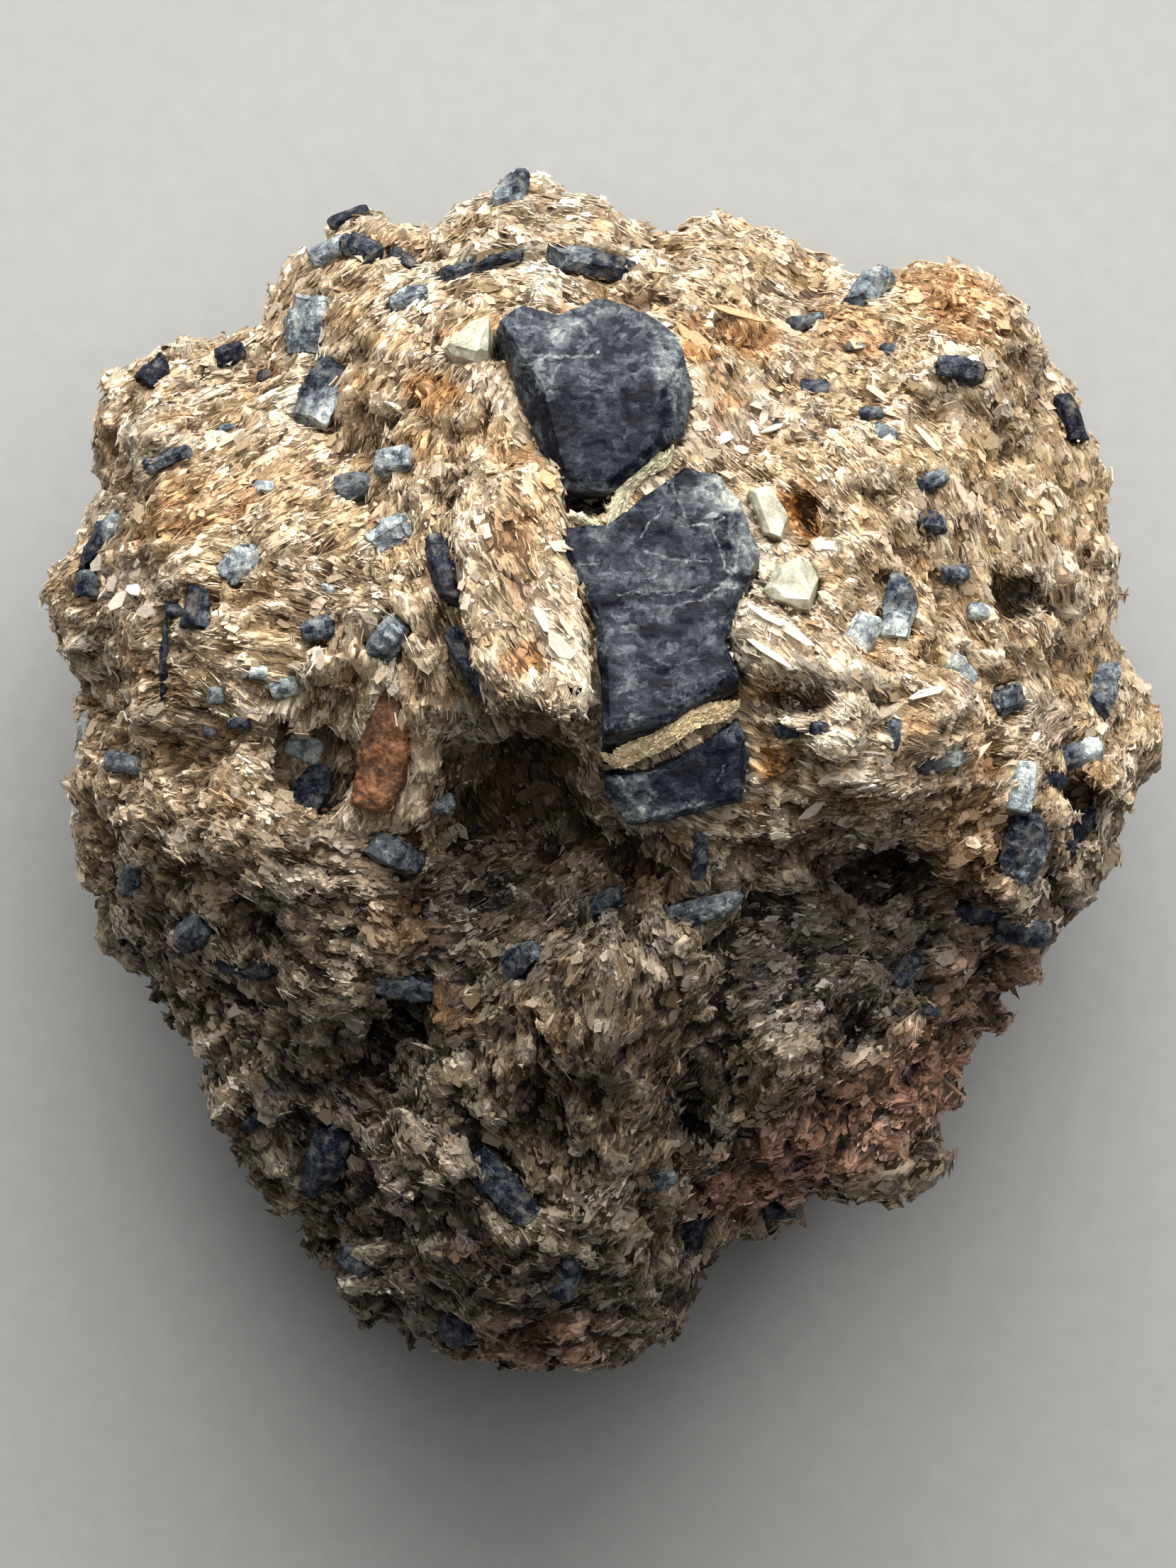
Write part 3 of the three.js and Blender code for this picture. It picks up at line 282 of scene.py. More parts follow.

# Pale cracks in the large sapphires, with painted highlights where two of them glint: points in mm, the half
# width in mm and how strongly they show.
CRACKS = [
    ([(-6.4, 31.5), (-5.4, 31.7), (-4.5, 32.1), (-3.3, 32.3), (-2.0, 32.1), (-0.5, 32.3),
      (-0.1, 32.6)], 0.14, 0.85),
    ([(-3.3, 33.3), (-2.7, 34.4), (-1.7, 34.9), (-1.2, 34.0)], 0.22, 0.6),
    ([(-4.1, 29.4), (-3.7, 30.8), (-3.1, 31.7)], 0.18, 0.5),
    ([(3.2, 35.5), (4.3, 33.9), (5.4, 31.9), (6.4, 30.1)], 0.12, 0.35),
    ([(3.0, 18.1), (3.8, 19.1), (4.6, 19.7)], 0.12, 0.7),
    ([(3.2, 17.1), (4.6, 16.5), (6.3, 16.2), (8.6, 16.3)], 0.14, 0.5),
    # a pale crack, painted brighter where it glints: partly a painted highlight
    ([(6.3, 18.9), (7.7, 19.1), (8.5, 19.0), (9.6, 19.5)], 0.16, 0.9),
    ([(8.5, 19.0), (9.1, 17.4), (9.5, 16.0), (10.2, 15.0)], 0.13, 0.7),
    ([(5.4, 22.1), (6.0, 20.7), (6.6, 19.5)], 0.12, 0.55),
    ([(10.9, 18.2), (10.5, 16.5), (10.3, 15.3)], 0.14, 0.6),
    ([(-2.2, 15.7), (-0.2, 16.1)], 0.1, 0.6),
    ([(6.4, 12.8), (7.7, 13.2), (8.8, 13.8), (9.7, 14.3)], 0.13, 0.8),
    ([(1.2, 13.6), (2.9, 13.8), (4.7, 13.6), (6.3, 13.9), (7.7, 14.1)], 0.12, 0.5),
    # not a crack: a painted highlight, a bright glint painted into the crystal's colour
    ([(9.5, 14.4), (10.4, 14.4)], 0.3, 0.95),
    ([(3.2, 8.1), (5.7, 8.2), (7.9, 8.7)], 0.09, 0.3),
    ([(4.3, 6.0), (6.8, 6.6), (9.6, 7.6)], 0.09, 0.3),
    ([(1.8, 4.8), (2.9, 3.7), (3.2, 4.1)], 0.12, 0.5),
    ([(1.1, -0.2), (1.8, -1.2)], 0.14, 0.6),
    ([(6.5, -2.6), (7.3, -3.1), (7.7, -2.6)], 0.14, 0.6),
    ([(9.1, -0.8), (9.5, 0.3)], 0.1, 0.5),
]

# A seam's cut: how far across, in half widths, and how high, in mm.
RIDGE = [(-1.0, -1.8), (-1.0, -0.5), (-0.5, -0.3), (0.0, -0.05), (0.45, 0.12), (1.0, -0.2), (1.0, -1.8)]

# Seams beside the large sapphires: points in mm, half the width, how many flakes and the colour.
SEAMS = [
    ([(0.2, 1.2), (1.0, 0.7), (2.1, 1.2), (3.2, 1.7), (4.6, 2.2), (5.7, 3.0), (6.7, 3.8), (7.8, 4.3),
      (9.2, 4.5), (10.7, 5.2)], 0.8, 1700, (0.8, 0.62, 0.38)),
    ([(-3.6, 19.7), (-2.7, 19.6), (-1.8, 19.6), (-0.9, 19.2), (0.0, 18.7),
      (0.6, 18.3)], 0.32, 240, (0.66, 0.62, 0.45)),
    ([(0.5, 18.2), (0.8, 19.2), (1.2, 20.3), (1.8, 21.6), (2.5, 22.6), (3.2, 23.3), (4.3, 23.8),
      (5.2, 24.3), (5.6, 25.2)], 0.62, 480, (0.62, 0.58, 0.4)),
]


def rows(values):
    """The values as an array of floats."""
    return np.array(values, float)


# ---- chance: repeatable noise on whole-number cells ----

def cell_chance(cells, seed):
    """Three random numbers from 0 to 1 for each whole-number cell."""
    c = np.asarray(cells).astype(np.int64)
    code = np.bitwise_xor.reduce([c[..., k] * prime for k, prime in enumerate(CELL_PRIMES)])
    code ^= seed * SEED_PRIME
    lots = []
    for step in LOT_STEPS:
        g = (code + step) & (WORD - 1)
        for _ in range(2):
            g = ((g ^ (g >> 16)) * MIXER) & (WORD - 1)
        lots.append((g ^ (g >> 16)) / WORD)
    return np.stack(lots, axis=-1)


def soft_noise(points, size, seed):
    """Smooth noise from -1 to 1 whose bumps are about that size, for points of shape (n, 3)."""
    q = points / size
    base = np.floor(q)
    f = q - base
    f = f * f * (3 - 2 * f)
    total = np.zeros(len(points))
    for step in product((0, 1), repeat=3):
        x, y, z = (f[:, k] if far else 1 - f[:, k] for k, far in enumerate(step))
        total += x * y * z * cell_chance(base + step, seed)[:, 0]
    return total * 2 - 1


def layered_noise(points, size, seed, layers=3):
    """Soft noise from -1 to 1 with finer layers added."""
    total, weight, scale = np.zeros(len(points)), 0.0, 1.0
    for n in range(layers):
        total += soft_noise(points, size * scale, seed + 17 * n) * scale
        weight += scale
        scale *= 0.5
    return total / weight


def drift(points, size, seed, axes=3):
    """Smooth shifts from -1 to 1 along that many axes."""
    return np.stack([layered_noise(points, size, seed + k) for k in range(axes)], axis=1)


def grains(points, size, seed):
    """The nearest grain of a random packing: its centre and its three random numbers."""
    q = points / size
    base = np.floor(q)
    best = np.full(len(points), FAR)
    centre = np.zeros_like(points)
    lot = np.zeros_like(points)
    for step in product((-1, 0, 1), repeat=3):
        cell = base + step
        chance = cell_chance(cell, seed)
        at = cell + 0.15 + 0.7 * chance
        d = ((q - at) ** 2).sum(axis=1)
        nearer = d < best
        best = np.where(nearer, d, best)
        centre[nearer] = at[nearer]
        lot[nearer] = chance[nearer]
    return centre * size, cell_chance(np.round(lot * 65536), seed + 5)


def grain_angle(points):
    """The direction of the mica streaks, in radians, over the face at each point."""
    table = rows(GRAIN_DIRECTIONS)
    spots = table[:, :2] * MM
    angle = np.radians(table[:, 2]) * 2
    d2 = ((points[:, None, :2] - spots[None]) ** 2).sum(axis=2)
    w = 1.0 / (d2 + (2.5 * MM) ** 2) ** 1.5
    return 0.5 * np.arctan2(w @ np.sin(angle), w @ np.cos(angle))


def ellipse_gap(points, x, y, rx, ry, turn):
    """How far each point is from an ellipse's middle, counted in its radii. The ellipse is given in mm."""
    c, s = math.cos(math.radians(turn)), math.sin(math.radians(turn))
    dx, dy = points[:, 0] - x * MM, points[:, 1] - y * MM
    return np.hypot((dx * c + dy * s) / (rx * MM), (dy * c - dx * s) / (ry * MM))


def patch_share(points, kind):
    """How strongly patches of that kind colour each point, from 0 to 1, with wandering borders."""
    at = points[:, :2] + drift(points, 3 * MM, 71, 2) * (1.4 * MM)
    share = np.zeros(len(points))
    for *ellipse, strength in MICA_PATCHES[kind]:
        share = np.maximum(share, strength * np.clip(1.35 - ellipse_gap(at, *ellipse), 0, 0.6) / 0.6)
    return share


# ---- meshes from the frame and from arrays ----

def read_array(items, name, across, kind):
    """That property of all the items, as an array with so many numbers in a row."""
    values = np.empty(len(items) * across, kind)
    items.foreach_get(name, values)
    return values.reshape(-1, across)


def points_of(mesh):
    return read_array(mesh.vertices, "co", 3, np.float32).astype(float)


def normals_of(mesh):
    return read_array(mesh.vertex_normals, "vector", 3, np.float32).astype(float)


def set_points(mesh, co):
    mesh.vertices.foreach_set("co", co.astype(np.float32).ravel())
    mesh.update()


def kept_in_box(co):
    """The points, none of them outside the CAD model's box."""
    return np.clip(co, *rows(CAD_BOX))


def add_values(mesh, name, values):
    layer = mesh.attributes.new(name, "FLOAT", "POINT")
    layer.data.foreach_set("value", values.astype(np.float32))


def add_colours(mesh, name, colours):
    layer = mesh.color_attributes.new(name, "FLOAT_COLOR", "POINT")
    rgba = np.ones((len(colours), 4), np.float32)
    rgba[:, :3] = colours
    layer.data.foreach_set("color", rgba.ravel())


def mesh_of(bm, name):
    """A mesh of bm, which is then freed."""
    mesh = bpy.data.meshes.new(name)
    bm.to_mesh(mesh)
    bm.free()
    return mesh


def joined_to(whole, bm):
    """Adds bm to the whole, another bmesh, and frees it."""
    mesh = mesh_of(bm, "part")
    whole.from_mesh(mesh)
    bpy.data.meshes.remove(mesh)


def merged(nodes):
    """A bmesh with copies of those CAD nodes, their corners merged."""
    bm = bmesh.new()
    for node in nodes:
        bm.from_mesh(frame["nodes"][node].data)
    bmesh.ops.remove_doubles(bm, verts=bm.verts, dist=2e-6)
    return bm


def piece_from(mesh, name, material, nodes=()):
    """A shown piece that rides on the root body and stands for those CAD nodes."""
    piece = bpy.data.objects.new(name, mesh)
    bpy.context.scene.collection.objects.link(piece)
    mesh.materials.clear()
    mesh.materials.append(material)
    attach(piece, "root")
    if nodes:
        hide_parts(*nodes)
    return piece


def applied(bm, name, kind, settings):
    """The mesh of bm after a modifier of that kind with those settings."""
    mesh = mesh_of(bm, name)
    rough = bpy.data.objects.new(name + "_rough", mesh)
    bpy.context.scene.collection.objects.link(rough)
    modifier = rough.modifiers.new(kind.title(), kind)
    for setting, value in settings.items():
        setattr(modifier, setting, value)
    graph = bpy.context.evaluated_depsgraph_get()
    done = bpy.data.meshes.new_from_object(rough.evaluated_get(graph))
    bpy.data.objects.remove(rough)
    bpy.data.meshes.remove(mesh)
    done.name = name
    return done


def line_gap(points, line):
    """How far each point is from a line of points in mm, seen from above."""
    corner = rows(line) * MM
    away = np.full(len(points), FAR)
    for a, b in zip(corner, corner[1:]):
        run = b - a
        share = np.clip(((points[:, :2] - a) @ run) / (run @ run), 0, 1)
        away = np.minimum(away, np.linalg.norm(points[:, :2] - a - share[:, None] * run, axis=1))
    return away


def refine(bm, longest, rounds=12):
    """Cuts edges until each is shorter than longest(middles of the edges)."""
    bmesh.ops.triangulate(bm, faces=bm.faces)
    for _ in range(rounds):
        ends = rows([(*e.verts[0].co, *e.verts[1].co) for e in bm.edges])
        length = np.linalg.norm(ends[:, :3] - ends[:, 3:], axis=1)
        cut = length > longest((ends[:, :3] + ends[:, 3:]) / 2)
        long_edges = [e for e, too_long in zip(bm.edges, cut) if too_long]
        if not long_edges:
            break
        bmesh.ops.subdivide_edges(bm, edges=long_edges, cuts=1)
        bmesh.ops.triangulate(bm, faces=[f for f in bm.faces if len(f.verts) > 3])


# ---- materials ----

class Nodes:
    """A material's node tree, with short ways to add and link nodes."""

    def __init__(self, name):
        self.material = bpy.data.materials.new(name)
        self.material.use_nodes = True
        self.tree = self.material.node_tree
        self.shader = self.tree.nodes["Principled BSDF"]
        self.place = self.tree.nodes.new("ShaderNodeTexCoord").outputs["Object"]

    def add(self, kind, inputs=(), **settings):
        node = self.tree.nodes.new(kind)
        for setting, value in settings.items():
            setattr(node, setting, value)
        for socket, value in dict(inputs).items():
            if isinstance(value, bpy.types.NodeSocket):
                self.tree.links.new(value, node.inputs[socket])
            else:
                node.inputs[socket].default_value = value
        return node

    def set(self, **inputs):
        for socket, value in inputs.items():
            name = socket.replace("_", " ")
            if isinstance(value, bpy.types.NodeSocket):
                self.tree.links.new(value, self.shader.inputs[name])
            else:
                self.shader.inputs[name].default_value = value

    def noise(self, size, detail=4.0, roughness=0.55, place=None):
        """Noise whose lumps are about size metres."""
        inputs = {"Vector": place or self.place, "Scale": 1.0 / size, "Detail": detail,
                  "Roughness": roughness}
        return self.add("ShaderNodeTexNoise", inputs).outputs["Fac"]

    def spread(self, value, low, high, to_low=0.0, to_high=1.0):
        return self.add("ShaderNodeMapRange", {"Value": value, "From Min": low, "From Max": high,
                                               "To Min": to_low, "To Max": to_high}).outputs["Result"]

    def sum(self, a, b, how="ADD", clamp=False):
        return self.add("ShaderNodeMath", {0: a, 1: b}, operation=how, use_clamp=clamp).outputs[0]

    def vector(self, how, inputs):
        return self.add("ShaderNodeVectorMath", inputs, operation=how).outputs[0]

    def value(self, name):
        return self.add("ShaderNodeAttribute", attribute_name=name).outputs["Fac"]

    def colour(self, name):
        return self.add("ShaderNodeAttribute", attribute_name=name).outputs["Color"]

    def ramp(self, value, stops):
        node = self.add("ShaderNodeValToRGB", {"Fac": value})
        bands = node.color_ramp.elements
        while len(bands) < len(stops):
            bands.new(0.5)
        for band, (at, colour) in zip(bands, stops):
            band.position = at
            band.color = (*colour, 1.0)
        return node.outputs["Color"]

    def mix(self, share, a, b, how="MIX"):
        node = self.add("ShaderNodeMix", data_type="RGBA", blend_type=how)
        for index, value in ((0, share), (6, a), (7, b)):
            if isinstance(value, bpy.types.NodeSocket):
                self.tree.links.new(value, node.inputs[index])
            else:
                node.inputs[index].default_value = value if index == 0 else (*value, 1.0)
        return node.outputs[2]

    def bump(self, height, depth, strength=1.0, normal=None):
        inputs = {"Height": height, "Distance": depth, "Strength": strength}
        if normal is not None:
            inputs["Normal"] = normal
        return self.add("ShaderNodeBump", inputs).outputs["Normal"]


def mica_flakes_finish():
    """Glossy mica in its attribute's colour, with brown specks."""
    n = Nodes("mica_flakes")
    speck = n.noise(0.3 * MM, 3.0)
    streak = n.noise(1.0 * MM, 2.0)
    tone = n.mix(n.spread(speck, 0.35, 0.7, 0.0, 0.5), (1, 1, 1), (0.55, 0.44, 0.33))
    colour = n.mix(1.0, n.colour("mica_colour"), tone, "MULTIPLY")
    height = n.sum(speck, streak)
    n.set(Base_Color=colour, Roughness=n.spread(speck, 0.3, 0.7, 0.22, 0.45),
          Normal=n.bump(height, 0.06 * MM, 0.7), Metallic=0.1, Specular_IOR_Level=0.45)
    return n.material


def schist_finish():
    """Packed mica scales that each lean and gloss their own way, drawn out along the grain."""
    n = Nodes("schist")
    grain = n.add("ShaderNodeAttribute", attribute_name="grain_place").outputs["Vector"]
    scales = n.add("ShaderNodeTexVoronoi", {"Vector": grain, "Scale": 1 / (0.34 * MM)})
    fine = n.noise(0.22 * MM, 4.0, 0.6, grain)
    broad = n.noise(3 * MM, 4.0)
    lot = n.add("ShaderNodeSeparateColor", {"Color": scales.outputs["Color"]})
    tone = n.sum(fine, n.spread(lot.outputs[0], 0, 1, -0.25, 0.25))
    tone = n.sum(tone, n.spread(broad, 0.3, 0.7, -0.08, 0.08))
    shade = n.ramp(tone, [(0.22, (0.22, 0.17, 0.12)), (0.5, (0.8, 0.75, 0.67)), (0.8, (1.5, 1.42, 1.28))])
    colour = n.mix(1.0, n.colour("mica_colour"), shade, "MULTIPLY")
    lean = n.vector("SUBTRACT", {0: scales.outputs["Color"], 1: (0.5, 0.5, 0.5)})
    lean = n.vector("SCALE", {0: lean, "Scale": 1.1})
    leaned = n.vector("ADD", {0: n.add("ShaderNodeNewGeometry").outputs["Normal"], 1: lean})
    leaned = n.vector("NORMALIZE", {0: leaned})
    n.set(Base_Color=colour, Roughness=n.spread(lot.outputs[1], 0.0, 1.0, 0.25, 0.6),
          Normal=n.bump(fine, 0.16 * MM, 0.9, leaned), Metallic=0.2)
    return n.material


def sapphire_finish(name, size=1.0, tint=(1.0, 1.0, 1.0), dusty=0.0):
    """Grey-blue crystal with navy and pale clouds, by its tone and crack attributes, dusty with mica."""
    n = Nodes(name)
    warp = n.add("ShaderNodeTexNoise", {"Vector": n.place, "Scale": 1 / (1.1 * size * MM), "Detail": 4.0})
    bent = n.vector("SCALE", {0: warp.outputs["Color"], "Scale": 0.9 * size * MM})
    place = n.vector("ADD", {0: n.place, 1: bent})
    level = n.add("ShaderNodeMapping", {"Vector": place, "Scale": (0.12, 1.0, 1.0),
                                        "Rotation": (0, 0, 0.06)}).outputs["Vector"]
    clouds = n.noise(1.5 * size * MM, 6.0, 0.62, place)
    specks = n.noise(0.34 * size * MM, 4.0, 0.62, place)
    lines = n.noise(0.22 * size * MM, 3.0, 0.6, level)
    blocks = n.add("ShaderNodeTexVoronoi", {"Vector": place, "Scale": 1 / (0.75 * size * MM)},
                   distance="CHEBYCHEV")
    lot = n.add("ShaderNodeSeparateColor", {"Color": blocks.outputs["Color"]})
    tone = n.sum(n.value("tone"), n.spread(clouds, 0.3, 0.7, -0.17, 0.17))
    tone = n.sum(tone, n.spread(specks, 0.3, 0.7, -0.12, 0.16))
    tone = n.sum(tone, n.spread(lot.outputs[0], 0.0, 1.0, -0.18, 0.15))
    tone = n.sum(tone, n.spread(lines, 0.35, 0.7, -0.05, 0.08), clamp=True)
    tint = rows(tint) * rows(bpy.context.scene.specimen_stone.sapphire_tint)
    colour = n.ramp(tone, [(at, rows(shade) * tint) for at, shade in SAPPHIRE_TONES])
    fray = n.spread(n.noise(0.35 * size * MM, 4.0, 0.7), 0.4, 0.6, 0.0, 1.0)
    crack = n.sum(n.value("crack"), fray, "MULTIPLY", True)
    colour = n.mix(crack, colour, CRACK_COLOUR)
    if dusty:
        dust = n.spread(n.noise(1.6 * size * MM, 5.0, 0.6), 0.5, 0.7, 0.0, dusty)
        colour = n.mix(dust, colour, DUST_COLOUR)
    height = n.sum(n.sum(clouds, specks), n.sum(lines, 0.7, "MULTIPLY"))
    n.set(Base_Color=colour, Roughness=n.spread(specks, 0.3, 0.7, 0.32, 0.6),
          Normal=n.bump(height, 0.08 * MM, 0.7), Specular_IOR_Level=0.1,
          Subsurface_Weight=0.06, Subsurface_Radius=(0.6, 0.7, 0.9), Subsurface_Scale=0.6 * MM)
    return n.material


def feldspar_finish():
    """Pale cloudy feldspar that glows a little."""
    n = Nodes("feldspar")
    clouds = n.noise(1.6 * MM, 5.0)
    specks = n.noise(0.3 * MM, 4.0)
    colour = n.ramp(n.sum(clouds, n.spread(specks, 0.3, 0.7, -0.08, 0.08)),
                    [(0.3, (0.20, 0.195, 0.13)), (0.5, (0.40, 0.39, 0.30)), (0.72, (0.60, 0.59, 0.49))])
    n.set(Base_Color=colour, Roughness=n.spread(specks, 0.3, 0.7, 0.2, 0.42),
          Normal=n.bump(n.sum(clouds, specks), 0.06 * MM, 0.6),
          Subsurface_Weight=0.3, Subsurface_Radius=(1.0, 0.95, 0.7), Subsurface_Scale=1.0 * MM)
    return n.material


def brown_plate_finish():
    """Rough stone stained orange and brown."""
    n = Nodes("brown_plate")
    clouds = n.noise(2.2 * MM, 5.0)
    specks = n.noise(0.4 * MM, 5.0)
    colour = n.ramp(n.sum(clouds, n.spread(specks, 0.3, 0.7, -0.15, 0.15)),
                    [(0.32, (0.035, 0.016, 0.009)), (0.5, (0.11, 0.045, 0.018)), (0.68, (0.30, 0.13, 0.05))])
    n.set(Base_Color=colour, Roughness=0.55, Normal=n.bump(n.sum(clouds, specks), 0.15 * MM, 0.8))
    return n.material


def floor_finish():
    """Plain pale paper."""
    n = Nodes("floor")
    paper = n.noise(2.0 * MM, 3.0)
    colour = n.ramp(paper, [(0.3, (0.32, 0.325, 0.32)), (0.7, (0.34, 0.345, 0.34))])
    n.set(Base_Color=colour, Roughness=0.8)
    return n.material


# ---- the stone ----

STONE = {}


def eased(values, pairs, rounds):
    """Values of the points averaged over their neighbours, that many times."""
    count = len(values)
    share = 1.0 + np.bincount(pairs.ravel(), minlength=count)[:, None]
    for _ in range(rounds):
        total = values.copy()
        for k in range(values.shape[1]):
            total[:, k] += np.bincount(pairs[:, 0], values[pairs[:, 1], k], count)
            total[:, k] += np.bincount(pairs[:, 1], values[pairs[:, 0], k], count)
        values = total / share
    return values


def unit(vectors):
    return vectors / np.maximum(np.linalg.norm(vectors, axis=1, keepdims=True), 1e-12)


def distances(points, tree, limit):
    """How far each point is from the tree's surface, up to the limit."""
    found = (tree.find_nearest(Vector(p), limit)[3] for p in points)
    return np.array([limit if gap is None else gap for gap in found])


def hollow_depth(points):
    """How deep the broken hollows are at each point of the face."""
    shift = layered_noise(points, 2.2 * MM, 61)
    block, lot = grains(points, 1.5 * MM, 62)
    points = 0.45 * points + 0.55 * block
    depth = np.zeros(len(points))
    for *ellipse, deep in HOLLOWS:
        away = ellipse_gap(points, *ellipse) + 0.40 * shift + 0.25 * (lot[:, 0] - 0.5)
        share = np.clip((1.12 - away) / 0.5, 0, 1)
        depth += deep * MM * share * share * (3 - 2 * share)
    return depth


def slab_share(points, outline, edge):
    """How far inside a slab's outline each point is, as a share from 0 to 1 over that edge width."""
    corner = rows(outline) * MM
    inside = np.zeros(len(points), bool)
    away = np.full(len(points), FAR)
    x, y = points[:, 0], points[:, 1]
    for a, b in zip(corner, np.roll(corner, -1, axis=0)):
        run = b - a
        share = np.clip(((x - a[0]) * run[0] + (y - a[1]) * run[1]) / (run @ run), 0, 1)
        away = np.minimum(away, np.hypot(x - a[0] - share * run[0], y - a[1] - share * run[1]))
        crosses = (a[1] > y) != (b[1] > y)
        with np.errstate(divide="ignore", invalid="ignore"):
            inside ^= crosses & (x < a[0] + (y - a[1]) * run[0] / run[1])
    return np.clip(np.where(inside, away, -away) / edge + 0.5, 0, 1)


def lower_share(points):
    """How far each point is into the stone's lower half, from 0 to 1."""
    return np.clip((LOWER_EDGE - points[:, 1]) / LOWER_FADE, 0, 1)


def mica_tint(points, lot, shade_lot):
    """The colour of mica at each point: lot picks the tone and patches tint it; painted shade darkens the
    stone's lower half and the dark patches.
    """
    tones = rows(MICA_TONES)
    steps = np.linspace(0, 1, len(tones))
    colour = np.stack([np.interp(lot, steps, tones[:, k]) for k in range(3)], axis=1)
    warm = layered_noise(points, 5 * MM, 31)
    colour *= 1 + warm[:, None] * rows([0.03, -0.09, -0.28])
    stain = np.clip(layered_noise(points, 3.0 * MM, 36) * 1.6 - 0.35, 0, 0.5)
    rust = np.maximum(patch_share(points, "rust"), stain)
    colour *= 1 - rust[:, None] * rows([0.12, 0.45, 0.75])
    brick = patch_share(points, "brick")
    grey = colour.mean(axis=1, keepdims=True)
    colour = colour * (1 - 0.85 * brick[:, None]) + 0.85 * brick[:, None] * grey * rows([2.3, 1.2, 0.9])
    pearl = patch_share(points, "pearl")
    pale = rows(PEARL) * (0.5 + 0.5 * shade_lot[:, None])
    colour = colour * (1 - 0.6 * pearl[:, None]) + 0.6 * pearl[:, None] * pale
    # Painted shade: the lower half, turned away from the key light, is painted greyer, browner and darker, in
    # patches, and its darker tones darker still.
    lower = lower_share(points)[:, None]
    grey = colour.mean(axis=1, keepdims=True)
    patchy_painted_shade = np.clip(layered_noise(points, 5 * MM, 37) * 1.7 + 0.25, 0, 1)[:, None] * lower
    colour = (colour * (1 - 0.3 * lower) + 0.3 * lower * grey * rows([1.08, 0.84, 0.58])) * (1 - 0.47 * lower)
    colour = colour * (1 - patchy_painted_shade * rows([0.62, 0.68, 0.72]))
    colour = colour * (1 - 0.7 * lower * np.clip(1.1 - 1.9 * lot, 0, 1)[:, None])
    # Painted shade and shadow from the dark patches, partly the mica's own dark brown.
    colour = colour * (1 - 0.75 * patch_share(points, "dark")[:, None])
    return colour * rows(bpy.context.scene.specimen_stone.mica_tint)


def foliation(points):
    """The mica's layers at each point: their angle, places stretched along them, the three lots of the
    block, how the blocks' borders are bent, and the bands' tone."""
    warp = drift(points, 2.5 * MM, 81) * 1.4 * MM
    domain, lot = grains(points + warp, 5.5 * MM, 11)
    angle = grain_angle(domain) + (lot[:, 0] - 0.5) * 0.5
    c, s = np.cos(angle), np.sin(angle)
    rel = points - domain
    along, across = rel[:, 0] * c + rel[:, 1] * s, rel[:, 1] * c - rel[:, 0] * s
    across = across + 0.3 * MM * layered_noise(points, 2.6 * MM, 22)
    streak = np.stack([along / 5.0, across, rel[:, 2] * 0.8], axis=1) + lot * 8 * MM
    return angle, streak, lot, warp, layered_noise(streak, 0.75 * MM, 34, 2)


